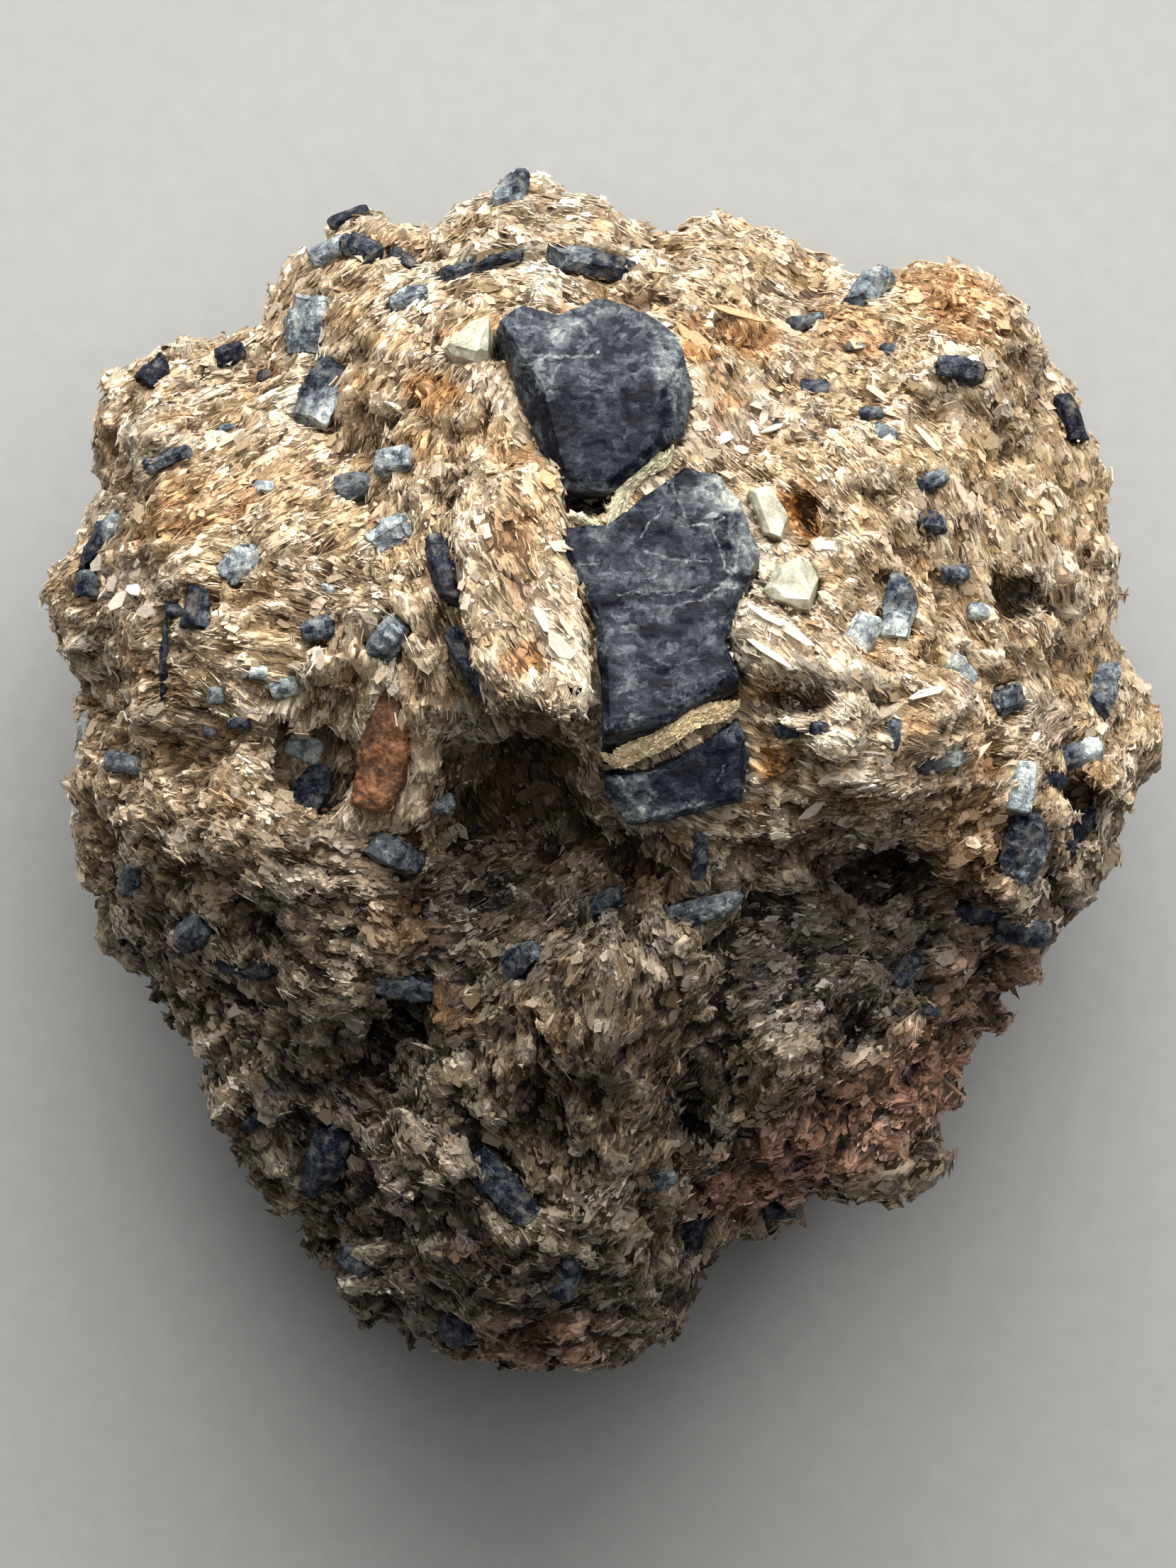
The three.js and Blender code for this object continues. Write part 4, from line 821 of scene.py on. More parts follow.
class SPECIMEN_OT_schist(bpy.types.Operator):
    """Builds the stone: the CAD lump with its broken foliation, hollows and colour"""
    bl_idname = "specimen.schist"
    bl_label = "Schist Lump"

    def execute(self, context):
        sizes = context.scene.specimen_stone
        remesh = {"mode": "VOXEL", "voxel_size": sizes.stone_grid, "use_smooth_shade": True}
        mesh = applied(merged(["schist_lump"]), "schist", "REMESH", remesh)
        co, pairs = points_of(mesh), read_array(mesh.edges, "vertices", 2, np.int32)
        normal = unit(eased(normals_of(mesh), pairs, 6))
        gap = distances(co, STONE["crystals"], 2.4 * MM)
        free = np.clip(gap / (1.6 * MM), 0.15, 1)
        face = np.clip(normal[:, 2] * 2, 0, 1)
        co = co - normal * (hollow_depth(co) * free * face)[:, None]
        calm = np.ones(len(co))
        wander = drift(co, 1.5 * MM, 63) * 0.5 * MM
        for outline, rise, still in PLATEAUS:
            share = slab_share(co + wander, outline, 0.6 * MM) * face
            co = co + normal * (share * rise * MM * free)[:, None]
            calm = np.minimum(calm, 1 - still * share)
        _, streak, lot, warp, bands = foliation(co)
        wavy = streak[:, 1] + 0.3 * MM * layered_noise(co, 1.6 * MM, 25)
        period = (1.5 + 1.4 * lot[:, 1]) * MM
        saw = np.mod(wavy / period + lot[:, 2], 1.0) - 0.5
        lift = saw * np.where(lot[:, 2] > 0.5, 1.0, -1.0) * (0.5 + 0.4 * lot[:, 0]) * MM
        lift += 0.34 * MM * bands
        for size, tilt, step, seed in ((4.6 * MM, 0.28, 0.55 * MM, 12), (2.0 * MM, 0.32, 0.24 * MM, 13)):
            middle, chance = grains(co + warp * 0.5, size, seed)
            lift += ((co - middle) * (chance - 0.5)).sum(axis=1) * 2 * tilt + (chance[:, 0] - 0.5) * 2 * step
        lift += 0.30 * MM * layered_noise(co, 1.6 * MM, 23)
        lift *= 1 + 0.5 * lower_share(co)
        collar = 0.75 * MM * np.clip(1 - gap / (1.8 * MM), 0, 1)
        base = np.clip(co[:, 2] / (1.5 * MM), 0, 1)
        co = co + normal * (((lift - 0.25 * MM) * free * calm * sizes.roughness + collar) * base)[:, None]
        co = kept_in_box(co)
        set_points(mesh, co)
        fine = ((eased(co, pairs, 5) - co) * normal).sum(axis=1)
        broad = ((eased(co, pairs, 45) - co) * normal).sum(axis=1)
        cavity = fine / (0.25 * MM) * 0.5 + broad / (1.0 * MM) * 0.5
        _, chance = grains(co, 0.9 * MM, 14)
        # The tone: random grains and bands, with painted shade in the hollows and painted light on the
        # ridges, stronger in the lower half.
        tone_with_painted_shade = (0.47 + 0.12 * layered_noise(co, 2.5 * MM, 24) + 0.22 * (chance[:, 1] - 0.5)
                - (0.26 + 0.16 * lower_share(co)) * cavity
                + 0.24 * bands)
        add_colours(mesh, "mica_colour", mica_tint(co, np.clip(tone_with_painted_shade, 0, 1), chance[:, 2]))
        layer = mesh.attributes.new("grain_place", "FLOAT_VECTOR", "POINT")
        layer.data.foreach_set("vector", streak.astype(np.float32).ravel())
        piece = piece_from(mesh, "schist", schist_finish(), ["schist_lump"])
        piece.data.shade_smooth()
        STONE.update(mesh=mesh, cavity=cavity, normals=unit(eased(normals_of(mesh), pairs, 5)))
        faces = [tuple(f.vertices) for f in mesh.polygons]
        STONE["tree"] = BVHTree.FromPolygons([tuple(p) for p in co], faces)
        return {"FINISHED"}


# ---- mica flakes ----

def flake_rim(count, sides, long_half, wide_half, chance):
    """Corner offsets along and across for that many flakes of so many sides: arrays (count, sides)."""
    turn = (np.arange(sides)[None] + 0.55 * (chance.random((count, sides)) - 0.5)) * 2 * math.pi / sides
    turn = turn + chance.random((count, 1)) * 2 * math.pi
    reach = 0.78 + 0.32 * chance.random((count, sides))
    return np.cos(turn) * reach * long_half[:, None], np.sin(turn) * reach * wide_half[:, None]


def flake_batch(middle, along, across, up, long_half, wide_half, thick, sides, plate, chance):
    """The corners, face loops and face sizes of flakes of one kind, and each corner's flake.

    A plate has two broad faces, and a wedge narrows to a point below."""
    count = len(middle)
    u, v = flake_rim(count, sides, long_half, wide_half, chance)
    rim = middle[:, None] + u[..., None] * along[:, None] + v[..., None] * across[:, None]
    ring = np.arange(sides)
    after = (ring + 1) % sides
    if plate:
        drop = thick[:, None, None] * up[:, None]
        corners = np.concatenate([rim + drop * 0.5, rim - drop * 0.5], axis=1)
        faces = [ring, (ring + sides)[::-1]]
        walls = np.stack([ring, ring + sides, after + sides, after], axis=1)
        sizes = [sides, sides] + [4] * sides
    else:
        point = middle - up * (thick * 4 + 0.15 * (long_half + wide_half))[:, None]
        corners = np.concatenate([rim, point[:, None]], axis=1)
        faces = [ring]
        walls = np.stack([ring, np.full(sides, sides), after], axis=1)
        sizes = [sides] + [3] * sides
    pattern = np.concatenate(faces + [walls.ravel()])
    each = corners.shape[1]
    loops = (np.arange(count)[:, None] * each + pattern[None]).ravel()
    return corners.reshape(-1, 3), loops, np.tile(sizes, count), np.repeat(np.arange(count), each)


def flakes_mesh(name, batches):
    """One mesh of all the batches: (corners, loops, face sizes, colour of each corner)."""
    corners = np.concatenate([b[0] for b in batches])
    starts = np.cumsum([0] + [len(b[0]) for b in batches[:-1]])
    loops = np.concatenate([b[1] + s for b, s in zip(batches, starts)])
    sizes = np.concatenate([b[2] for b in batches])
    colours = np.concatenate([b[3] for b in batches])
    mesh = bpy.data.meshes.new(name)
    mesh.vertices.add(len(corners))
    mesh.loops.add(len(loops))
    mesh.polygons.add(len(sizes))
    mesh.vertices.foreach_set("co", kept_in_box(corners).astype(np.float32).ravel())
    mesh.loops.foreach_set("vertex_index", loops.astype(np.int32))
    mesh.polygons.foreach_set("loop_start", (np.cumsum(sizes) - sizes).astype(np.int32))
    mesh.update(calc_edges=True)
    mesh.shade_flat()
    add_colours(mesh, "mica_colour", colours)
    return mesh


def surface_spots(count, density, chance):
    """Random spots on the stone: points, their smoothed normals and how hollow the stone is there."""
    mesh = STONE["mesh"]
    mesh.calc_loop_triangles()
    tri = read_array(mesh.loop_triangles, "vertices", 3, np.int32)
    co, normal = points_of(mesh), STONE["normals"]
    a, b, c = co[tri[:, 0]], co[tri[:, 1]], co[tri[:, 2]]
    area = np.linalg.norm(np.cross(b - a, c - a), axis=1) / 2
    weight = area * density((a + b + c) / 3)
    pick = chance.choice(len(tri), count, p=weight / weight.sum())
    r = chance.random((count, 2))
    flip = r.sum(axis=1) > 1
    r[flip] = 1 - r[flip]
    spot = a[pick] + (b - a)[pick] * r[:, :1] + (c - a)[pick] * r[:, 1:]
    return spot, unit(normal[tri[pick]].mean(axis=1)), STONE["cavity"][tri[pick, 0]]


def turned(vectors, axis, angle):
    """Each vector turned about its axis by its angle."""
    c, s = np.cos(angle)[:, None], np.sin(angle)[:, None]
    level = (axis * vectors).sum(axis=1, keepdims=True)
    return vectors * c + np.cross(axis, vectors) * s + axis * level * (1 - c)


def face_density(points):
    """More flakes on the face and the sides than on the back, and none on the resting place."""
    upper = np.clip((points[:, 2] - WALL_LOW) / WALL_FADE, 0, 1)
    return np.where(points[:, 2] < REST_HEIGHT, 0.0, 0.2 + 0.8 * upper)


def clear_of_crystals(spot, up, tree, chance):
    """True for spots that no crystal covers. Some spots under a crystal's rim are moved up onto it."""
    clear = np.ones(len(spot), bool)
    for k in range(len(spot)):
        place = Vector(spot[k])
        if tree.find_nearest(place, 1.0 * MM)[0] is None:
            continue
        hit, _, _, depth = tree.ray_cast(place, Vector(up[k]), 6 * MM)
        if hit is None:
            continue
        clear[k] = depth < 0.8 * MM and chance.random() < 0.6
        if clear[k]:
            spot[k] = hit
    return clear


def laid(spot, up, angle, roll, pitch):
    """The flakes' directions along, across and up, turned from the surface by roll and pitch."""
    streak = np.stack([np.cos(angle), np.sin(angle), np.zeros(len(spot))], axis=1)
    streak = unit(streak - up * (streak * up).sum(axis=1, keepdims=True))
    normal = turned(up, streak, roll)
    side = np.cross(normal, streak)
    normal = turned(normal, side, pitch)
    return np.cross(side, normal), side, normal


def batches_of(here, flakes, chance):
    """The batches of corners and faces for the flakes picked by here."""
    batches = []
    for number in (3, 4, 5, 6):
        for plate in (True, False):
            lot = here & (flakes["sides"] == number) & (flakes["plate"] == plate)
            if not lot.any():
                continue
            made = flake_batch(*[flakes[k][lot] for k in ("middle", "along", "side", "normal", "long_half",
                                                          "wide_half", "thick")], number, plate, chance)
            batches.append((made[0], made[1], made[2], flakes["colour"][lot][made[3]]))
    return batches


class SPECIMEN_OT_mica(bpy.types.Operator):
    """Sets the mica flakes into the stone, laid along its grain"""
    bl_idname = "specimen.mica"
    bl_label = "Mica Flakes"

    def execute(self, context):
        sizes = context.scene.specimen_stone
        chance = np.random.default_rng(MICA_SEED)
        spot, up, cavity = surface_spots(sizes.flakes, face_density, chance)
        clear = clear_of_crystals(spot, up, STONE["crystals"], chance)
        spot, up, cavity = spot[clear], up[clear], cavity[clear]
        count = len(spot)
        layers, streak, lot, _, bands = foliation(spot)
        _, small_lot = grains(spot, 1.2 * MM, 16)
        kind = chance.random(count) + 0.4 * (small_lot[:, 0] - 0.5)
        low = lower_share(spot)
        fibre, plate = kind < 0.58 - 0.32 * low, kind > 0.995
        angle = layers + chance.normal(0, 1, count) * np.where(fibre, 0.10, 0.26)
        roll = (lot[:, 1] - 0.5) * 0.7 + 0.8 * layered_noise(streak, 0.9 * MM, 35, 2)
        roll += chance.normal(0, 1, count) * np.where(fibre, 0.28, 0.2)
        pitch = (lot[:, 2] - 0.5) * 0.3 + chance.normal(0, 1, count) * np.where(fibre, 0.07, 0.15)
        along, side, normal = laid(spot, up, angle, roll, pitch)
        long_half = np.clip(chance.lognormal(math.log(0.24), 0.42, count), 0.12, 0.8) * (1 + 0.3 * low)
        long_half = np.where(fibre, 0.3 + 1.1 * chance.random(count) ** 2, long_half)
        long_half = np.where(plate, chance.uniform(0.35, 1.0, count), long_half) * MM
        wide_half = long_half * chance.uniform(0.4, 0.9, count)
        wide_half = np.where(fibre, chance.uniform(0.05, 0.11, count) * MM, wide_half)
        thick = np.where(plate, chance.uniform(0.05, 0.14, count), chance.uniform(0.04, 0.08, count)) * MM
        middle = spot + up * (chance.uniform(-0.05, 0.10, count) * MM)[:, None]
        # The tone: random bands and grains, with painted shade in the hollows and painted light on the
        # ridges, stronger in the lower half.
        tone = (0.57 + 0.10 * layered_noise(spot, 2.2 * MM, 33) + chance.normal(0, 0.08, count)
                + 0.36 * bands + 0.22 * (small_lot[:, 2] - 0.5) - (0.22 + 0.2 * low) * np.clip(cavity, -1, 1))
        flakes = {"middle": middle, "along": along, "side": side, "normal": normal, "long_half": long_half,
                  "wide_half": wide_half, "thick": thick, "plate": plate,
                  "sides": np.where(fibre, chance.integers(3, 5, count), chance.integers(4, 6, count)),
                  "colour": mica_tint(spot, np.clip(tone, 0, 1), chance.random(count))}
        high = spot[:, 2] > BACK_HEIGHT
        top, left = spot[:, 1] >= FACE_SPLIT, spot[:, 0] < 0
        finish = mica_flakes_finish()
        for name, here in (("mica_upper_left", high & top & left), ("mica_upper_right", high & top & ~left),
                           ("mica_lower_left", high & ~top & left), ("mica_lower_right", high & ~top & ~left),
                           ("mica_back", ~high)):
            piece_from(flakes_mesh(name, batches_of(here, flakes, chance)), name, finish)
        return {"FINISHED"}


class SPECIMEN_OT_bold_flakes(bpy.types.Operator):
    """Sets the single flakes of mica that stand out on the face"""
    bl_idname = "specimen.bold_flakes"
    bl_label = "Bold Flakes"

    def execute(self, context):
        chance = np.random.default_rng(BOLD_SEED)
        table = rows(BOLD_FLAKES)
        found = [resting(x * MM, y * MM) for x, y in table[:, :2]]
        table = table[[f is not None for f in found]]
        spot = rows([f[0] for f in found if f is not None])
        up = unit(rows([f[1] for f in found if f is not None]) + rows([0, 0, 0.5]))
        count = len(spot)
        along, side, normal = laid(spot, up, np.radians(table[:, 4]), np.radians(table[:, 5]),
                                   chance.normal(0, 0.1, count))
        flakes = {"middle": spot + up * 0.3 * MM, "along": along, "side": side, "normal": normal,
                  "long_half": table[:, 2] / 2 * MM, "wide_half": table[:, 3] / 2 * MM,
                  "thick": np.full(count, 0.14 * MM), "plate": np.ones(count, bool),
                  "sides": np.full(count, 6), "colour": mica_tint(spot, table[:, 6], np.ones(count))}
        mesh = flakes_mesh("bold_flakes", batches_of(np.ones(count, bool), flakes, chance))
        piece_from(mesh, "bold_flakes", bpy.data.materials["mica_flakes"])
        return {"FINISHED"}


def along_line(line, count, chance):
    """Random places along a line of points, and the line's direction there."""
    corner = rows(line)
    step = np.linalg.norm(np.diff(corner, axis=0), axis=1)
    far = chance.random(count) * step.sum()
    k = np.minimum(np.searchsorted(np.cumsum(step), far), len(step) - 1)
    share = (far - np.concatenate([[0], np.cumsum(step)])[k]) / step[k]
    run = np.diff(corner, axis=0)[k]
    return corner[k] + run * share[:, None], np.arctan2(run[:, 1], run[:, 0])


def seen_from_above(tree, x, y):
    """The tree's hit under x, y: the place, the normal, the face and the distance, or None four times."""
    return tree.ray_cast(Vector((x, y, SKY)), DOWN)


def smoothed(values, near):
    """The running mean of a row of values over so many neighbours on either side."""
    return np.convolve(np.pad(values, near, "edge"), np.ones(2 * near + 1) / (2 * near + 1), "valid")


def ribbon(bm, line, half):
    """Adds a closed ridge that fills the gap along a line of points, level with the faces beside it."""
    corner = rows(line) * MM
    reach = np.concatenate([[0], np.cumsum(np.linalg.norm(np.diff(corner, axis=0), axis=1))])
    stations = np.arange(0, reach[-1], 0.18 * MM)
    path = np.stack([np.interp(stations, reach, corner[:, k]) for k in (0, 1)], axis=1)
    run = unit(np.gradient(path, axis=0))
    run = unit(np.stack([smoothed(run[:, k], 4) for k in (0, 1)], axis=1))
    side = np.stack([-run[:, 1], run[:, 0]], axis=1)
    edges = []
    for way in (-1, 1):
        tops = []
        for p, n in zip(path, side):
            near = [p + n * way * (half + extra) * MM for extra in (0.2, 0.5, 0.8)]
            tops.append(sorted(seen_from_above(STONE["all"], *spot)[0].z for spot in near)[1])
        edges.append(np.array(tops))
    level = 0.75 * np.maximum(*edges) + 0.25 * np.minimum(*edges) - 0.1 * MM
    level = smoothed(level, 5)
    taper = np.clip(np.minimum(stations, reach[-1] - stations) / (1.6 * MM), 0.2, 1)
    rings = []
    for p, n, z, t in zip(path, side, level, taper):
        rings.append([bm.verts.new((*(p + n * across * half * t * MM), z + up * MM)) for across, up in RIDGE])
    for before, after in zip(rings, rings[1:]):
        for k in range(len(RIDGE)):
            m = (k + 1) % len(RIDGE)
            bm.faces.new((before[k], before[m], after[m], after[k]))
    bm.faces.new(rings[0])
    bm.faces.new(rings[-1][::-1])


class SPECIMEN_OT_seams(bpy.types.Operator):
    """Fills the seams between the large sapphires with ridges of mica and feldspar"""
    bl_idname = "specimen.seams"
    bl_label = "Seams"

    def execute(self, context):
        chance = np.random.default_rng(SEAM_SEED)
        bm = bmesh.new()
        batches = []
        for line, half, count, tint in SEAMS:
            ridge = bmesh.new()
            ribbon(ridge, line, half)
            bmesh.ops.recalc_face_normals(ridge, faces=ridge.faces)
            tree = BVHTree.FromBMesh(ridge)
            joined_to(bm, ridge)
            place, angle = along_line(line, count, chance)
            sideways = np.stack([-np.sin(angle), np.cos(angle)], 1)
            place = place + chance.uniform(-0.9, 0.9, (count, 1)) * half * sideways
            hits = [seen_from_above(tree, x * MM, y * MM)[0] for x, y in place]
            on = rows([hit is not None for hit in hits]) > 0
            spot = rows([hit for hit in hits if hit is not None])
            angle, count = angle[on], len(spot)
            up = np.tile((0.0, 0.0, 1.0), (count, 1))
            angle = angle + chance.normal(0, 0.25, count)
            roll, pitch = chance.normal(0, 0.5, count), chance.normal(0, 0.2, count)
            along, side, normal = laid(spot, up, angle, roll, pitch)
            long_half = chance.uniform(0.15, 0.45, count) * MM
            colour = rows(tint) * chance.uniform(0.5, 1.4, (count, 1))
            colour = colour * chance.uniform(0.92, 1.08, (count, 3))
            flakes = {"middle": spot, "along": along, "side": side, "normal": normal, "long_half": long_half,
                      "wide_half": long_half * chance.uniform(0.2, 0.5, count),
                      "thick": chance.uniform(0.04, 0.1, count) * MM, "plate": np.zeros(count, bool),
                      "sides": chance.integers(4, 6, count), "colour": np.clip(colour, 0, 0.85)}
            batches += batches_of(np.ones(count, bool), flakes, chance)
        mesh = roughened(bm, "seam_ridges", 0.2 * MM, 0.2)
        co = points_of(mesh)
        shade = 0.7 + 0.6 * layered_noise(co, 0.6 * MM, 51, 2)
        tints, away = np.zeros((len(co), 3)), np.full(len(co), FAR)
        for line, _, _, tint in SEAMS:
            gap = line_gap(co, line)
            tints[gap < away] = tint
            away = np.minimum(away, gap)
        add_colours(mesh, "mica_colour", tints * shade[:, None])
        finish = bpy.data.materials["mica_flakes"]
        piece_from(mesh, "seam_ridges", finish)
        piece_from(flakes_mesh("seam_flakes", batches), "seam_flakes", finish)
        return {"FINISHED"}


# ---- crystals ----

def chipped(nodes, chance, chips):
    """A bmesh of those crystals, each with some of its corners broken off along flat faces."""
    joined = bmesh.new()
    for node in nodes:
        bm = merged([node])
        middle = sum((v.co for v in bm.verts), Vector()) / len(bm.verts)
        for _ in range(chips):
            way = Vector(chance.normal(0, 1, 3))
            way.z = abs(way.z) * 0.8
            way.normalize()
            reach = max((v.co - middle).dot(way) for v in bm.verts)
            cut = bmesh.ops.bisect_plane(bm, geom=bm.verts[:] + bm.edges[:] + bm.faces[:], dist=1e-6,
                                         plane_co=middle + way * reach * chance.uniform(0.68, 0.9),
                                         plane_no=way, clear_outer=True)
            rim = [e for e in cut["geom_cut"] if isinstance(e, bmesh.types.BMEdge)]
            bmesh.ops.holes_fill(bm, edges=rim, sides=0)
        joined_to(joined, bm)
    return joined


def sharp_edges(bm):
    """The edges between two faces that turn sharply."""
    return [e for e in bm.edges if len(e.link_faces) == 2 and e.calc_face_angle(0) > SHARP_ANGLE]


def bevelled(bm, edges, offset, segments):
    bmesh.ops.bevel(bm, geom=edges, offset=offset, offset_type="OFFSET", segments=segments, profile=0.5,
                    affect="EDGES", material=-1, clamp_overlap=True)


def crystal_mesh(nodes, name, bevel, edge, rough, chips=0, lined=False):
    """A chipped and roughened copy of those CAD crystals."""
    bm = chipped(nodes, np.random.default_rng(len(name) + len(nodes)), chips)
    bevelled(bm, sharp_edges(bm), bevel, 2)
    return roughened(bm, name, edge, rough, lined)


def crack_gap(points):
    """How far each point is from the nearest crack line, seen from above."""
    return np.min([line_gap(points, line) for line, _, _ in CRACKS], axis=0)


def crack_share(points):
    """How strongly the crack lines show at each point."""
    at = points.copy()
    at[:, :2] += drift(points, 0.8 * MM, 55, 2) * 0.3 * MM
    share = np.zeros(len(points))
    for line, half, strength in CRACKS:
        near = np.clip(1.2 - line_gap(at, line) / (0.8 * half * MM), 0, 1)
        share = np.maximum(share, 0.9 * strength * near)
    return share


def roughened(bm, name, edge, rough, lined=False):
    """A finely cut mesh of bm with an uneven surface. A lined one is cut finer still near the cracks."""
    if lined:
        refine(bm, lambda middles: np.where(crack_gap(middles) < 0.35 * MM, CRACK_GRID, edge))
    else:
        refine(bm, lambda middles: edge)
    bmesh.ops.smooth_vert(bm, verts=bm.verts, factor=0.5, use_axis_x=True, use_axis_y=True, use_axis_z=True)
    mesh = mesh_of(bm, name)
    co, normal = points_of(mesh), normals_of(mesh)
    middle, lot = grains(co, 1.9 * MM, 41)
    lift = ((co - middle) * (lot - 0.5)).sum(axis=1) * 0.22 + (lot[:, 0] - 0.5) * 0.2 * MM
    middle, lot = grains(co, 0.8 * MM, 43)
    lift += ((co - middle) * (lot - 0.5)).sum(axis=1) * 0.22
    lift += layered_noise(co, 1.2 * MM, 42) * 0.12 * MM
    set_points(mesh, kept_in_box(co + normal * (lift * rough)[:, None]))
    mesh.shade_smooth()
    return mesh


def patched_tone(points):
    """The tone of the large sapphires, from their patches, with wandering borders."""
    at = points[:, :2] + drift(points, 1.8 * MM, 53, 2) * 0.9 * MM
    plain, share = 0.33, 0.25
    tone, weight = np.full(len(points), plain * share), np.full(len(points), share)
    for x, y, rx, ry, turn, value in LARGE_PATCHES:
        w = np.exp(-(ellipse_gap(at, x, y, rx, ry, turn) ** 4)) * 3 / (rx * ry) ** 0.5
        tone += w * value
        weight += w
    return tone / weight


def direction(turn):
    """The level direction that is turned so many degrees from x."""
    return math.cos(math.radians(turn)), math.sin(math.radians(turn)), 0


def nearest_tone(points, crystals):
    """The tone of each point, from the crystal it is nearest to, painted darker in the stone's lower half as
    painted shade.

    Each crystal gives how far the points are from it, how far along it they are, from -1 to 1, and the
    tones of its body and its far end."""
    away = np.full(len(points), FAR)
    tone = np.zeros(len(points))
    for gap, reach, body, end in crystals:
        nearer = gap < away
        tone[nearer] = (body + (end - body) * np.clip((reach + 0.1) / 0.6, 0, 1))[nearer]
        away = np.minimum(away, gap)
    # Painted shade: crystals in the lower half are darker.
    return tone * (1 - 0.3 * lower_share(points))


def node_tone(points, nodes, tones):
    """The tone of each point of joined small sapphires."""
    crystals = []
    for node, (body, turn, end) in zip(nodes, tones):
        lo, hi = (rows(corner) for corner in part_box(node))
        middle, half = (lo + hi) / 2, (hi - lo) / 2
        way = rows(direction(turn))
        reach = (points - middle) @ way / (np.abs(half) @ np.abs(way))
        crystals.append((np.abs((points - middle) / half).max(axis=1), reach, body, end))
    return nearest_tone(points, crystals)


class SPECIMEN_OT_large_sapphires(bpy.types.Operator):
    """Dresses the three large sapphires with roughened, mottled and cracked faces"""
    bl_idname = "specimen.large_sapphires"
    bl_label = "Large Sapphires"

    def execute(self, context):
        finish = sapphire_finish("large_sapphire")
        for node in ("upper_sapphire", "middle_sapphire", "lower_sapphire"):
            mesh = crystal_mesh([node], node + "_crystal", 0.15 * MM, 0.38 * MM, 0.7, lined=True)
            add_values(mesh, "tone", patched_tone(points_of(mesh)))
            add_values(mesh, "crack", crack_share(points_of(mesh)))
            piece_from(mesh, node + "_crystal", finish, [node])
        return {"FINISHED"}


class SPECIMEN_OT_small_sapphires(bpy.types.Operator):
    """Dresses the small sapphires, joined by their places on the stone"""
    bl_idname = "specimen.small_sapphires"
    bl_label = "Small Sapphires"

    def execute(self, context):
        finish = sapphire_finish("small_sapphire", 0.7, SMALL_TINT, SMALL_DUST)
        for group, tones in TONES.items():
            name = group + "_sapphires"
            nodes = ["%s_sapphire_%d" % (group, k + 1) for k in range(len(tones))]
            mesh = crystal_mesh(nodes, name, 0.12 * MM, 0.36 * MM, 1.1, 4)
            add_values(mesh, "tone", node_tone(points_of(mesh), nodes, tones))
            piece_from(mesh, name, finish, nodes)
        return {"FINISHED"}


def resting(x, y):
    """The point and the broad normal of the stone under x, y, or None beside it."""
    place, _, face, _ = seen_from_above(STONE["tree"], x, y)
    if place is None:
        return None
    corners = list(STONE["mesh"].polygons[face].vertices)
    return place, Vector(STONE["normals"][corners].mean(axis=0)).normalized()


class SPECIMEN_OT_set_crystals(bpy.types.Operator):
    """Sets the smallest sapphires into the mica"""
    bl_idname = "specimen.set_crystals"
    bl_label = "Smallest Sapphires"

    def execute(self, context):
        chance = np.random.default_rng(CRYSTAL_SEED)
        bm = bmesh.new()
        tones = []
        for x, y, length, width, turn, tone, end in SET_CRYSTALS:
            found = resting(x * MM, y * MM)
            if found is None:
                continue
            place, up = found
            up = (up + Vector((0, 0, 0.6))).normalized()
            way = Vector(direction(turn))
            way = (way - up * way.dot(up)).normalized()
            side = up.cross(way)
            thick = min(length, width) * 0.8
            made = bmesh.ops.create_cone(bm, cap_ends=True, segments=6, radius1=0.5,
                                         radius2=0.5 * chance.uniform(0.6, 1), depth=1.0)
            verts = made["verts"]
            turn_about = Matrix.Rotation(math.radians(chance.uniform(0, 60)), 3, "Z")
            bmesh.ops.rotate(bm, verts=verts, cent=(0, 0, 0), matrix=turn_about)
            laid_down = Matrix((way * length * MM, side * width * MM, up * thick * MM)).transposed()
            axes = Matrix(((0, 0, 1), (1, 0, 0), (0, 1, 0)))
            bmesh.ops.transform(bm, verts=verts, matrix=(laid_down @ axes).to_4x4())
            bmesh.ops.translate(bm, verts=verts, vec=place + up * (0.12 * thick * MM))
            tones.append((place, way, length * MM, tone, end))
        sharp = sharp_edges(bm)
        bmesh.ops.recalc_face_normals(bm, faces=bm.faces)
        bevelled(bm, sharp, 0.14 * MM, 1)
        mesh = roughened(bm, "set_sapphires", 0.45 * MM, 0.8)
        co = points_of(mesh)
        crystals = []
        for place, way, length, body, end in tones:
            rel = co - rows(place)
            crystals.append((np.linalg.norm(rel, axis=1), rel @ rows(way) / (0.5 * length), body, end))
        add_values(mesh, "tone", nearest_tone(co, crystals))
        piece_from(mesh, "set_sapphires", bpy.data.materials["small_sapphire"])
        return {"FINISHED"}


class SPECIMEN_OT_feldspar(bpy.types.Operator):
    """Dresses the pale feldspar chunks and the brown plate"""
    bl_idname = "specimen.feldspar"
    bl_label = "Feldspar and Brown Plate"

    def execute(self, context):
        finish = feldspar_finish()
        for node in ("feldspar_left", "feldspar_right_upper", "feldspar_right_lower"):
            mesh = crystal_mesh([node], node + "_chunk", 0.2 * MM, 0.4 * MM, 0.3, 3)
            piece_from(mesh, node + "_chunk", finish, [node])
        mesh = crystal_mesh(["brown_plate"], "brown_plate_chunk", 0.15 * MM, 0.4 * MM, 0.9)
        piece_from(mesh, "brown_plate_chunk", brown_plate_finish(), ["brown_plate"])
        return {"FINISHED"}


# ---- stage ----

def area_light(name, place, size, power, colour):
    """A soft rectangular light that shines on the stone."""
    lamp = bpy.data.lights.new(name, "AREA")
    lamp.shape = "RECTANGLE"
    lamp.size, lamp.size_y = size
    lamp.energy = power
    lamp.color = colour
    light = bpy.data.objects.new(name, lamp)
    bpy.context.scene.collection.objects.link(light)
    light.location = place
    aim = Vector((0, 0, 40 * MM))
    light.rotation_euler = (aim - Vector(place)).to_track_quat("-Z", "Y").to_euler()


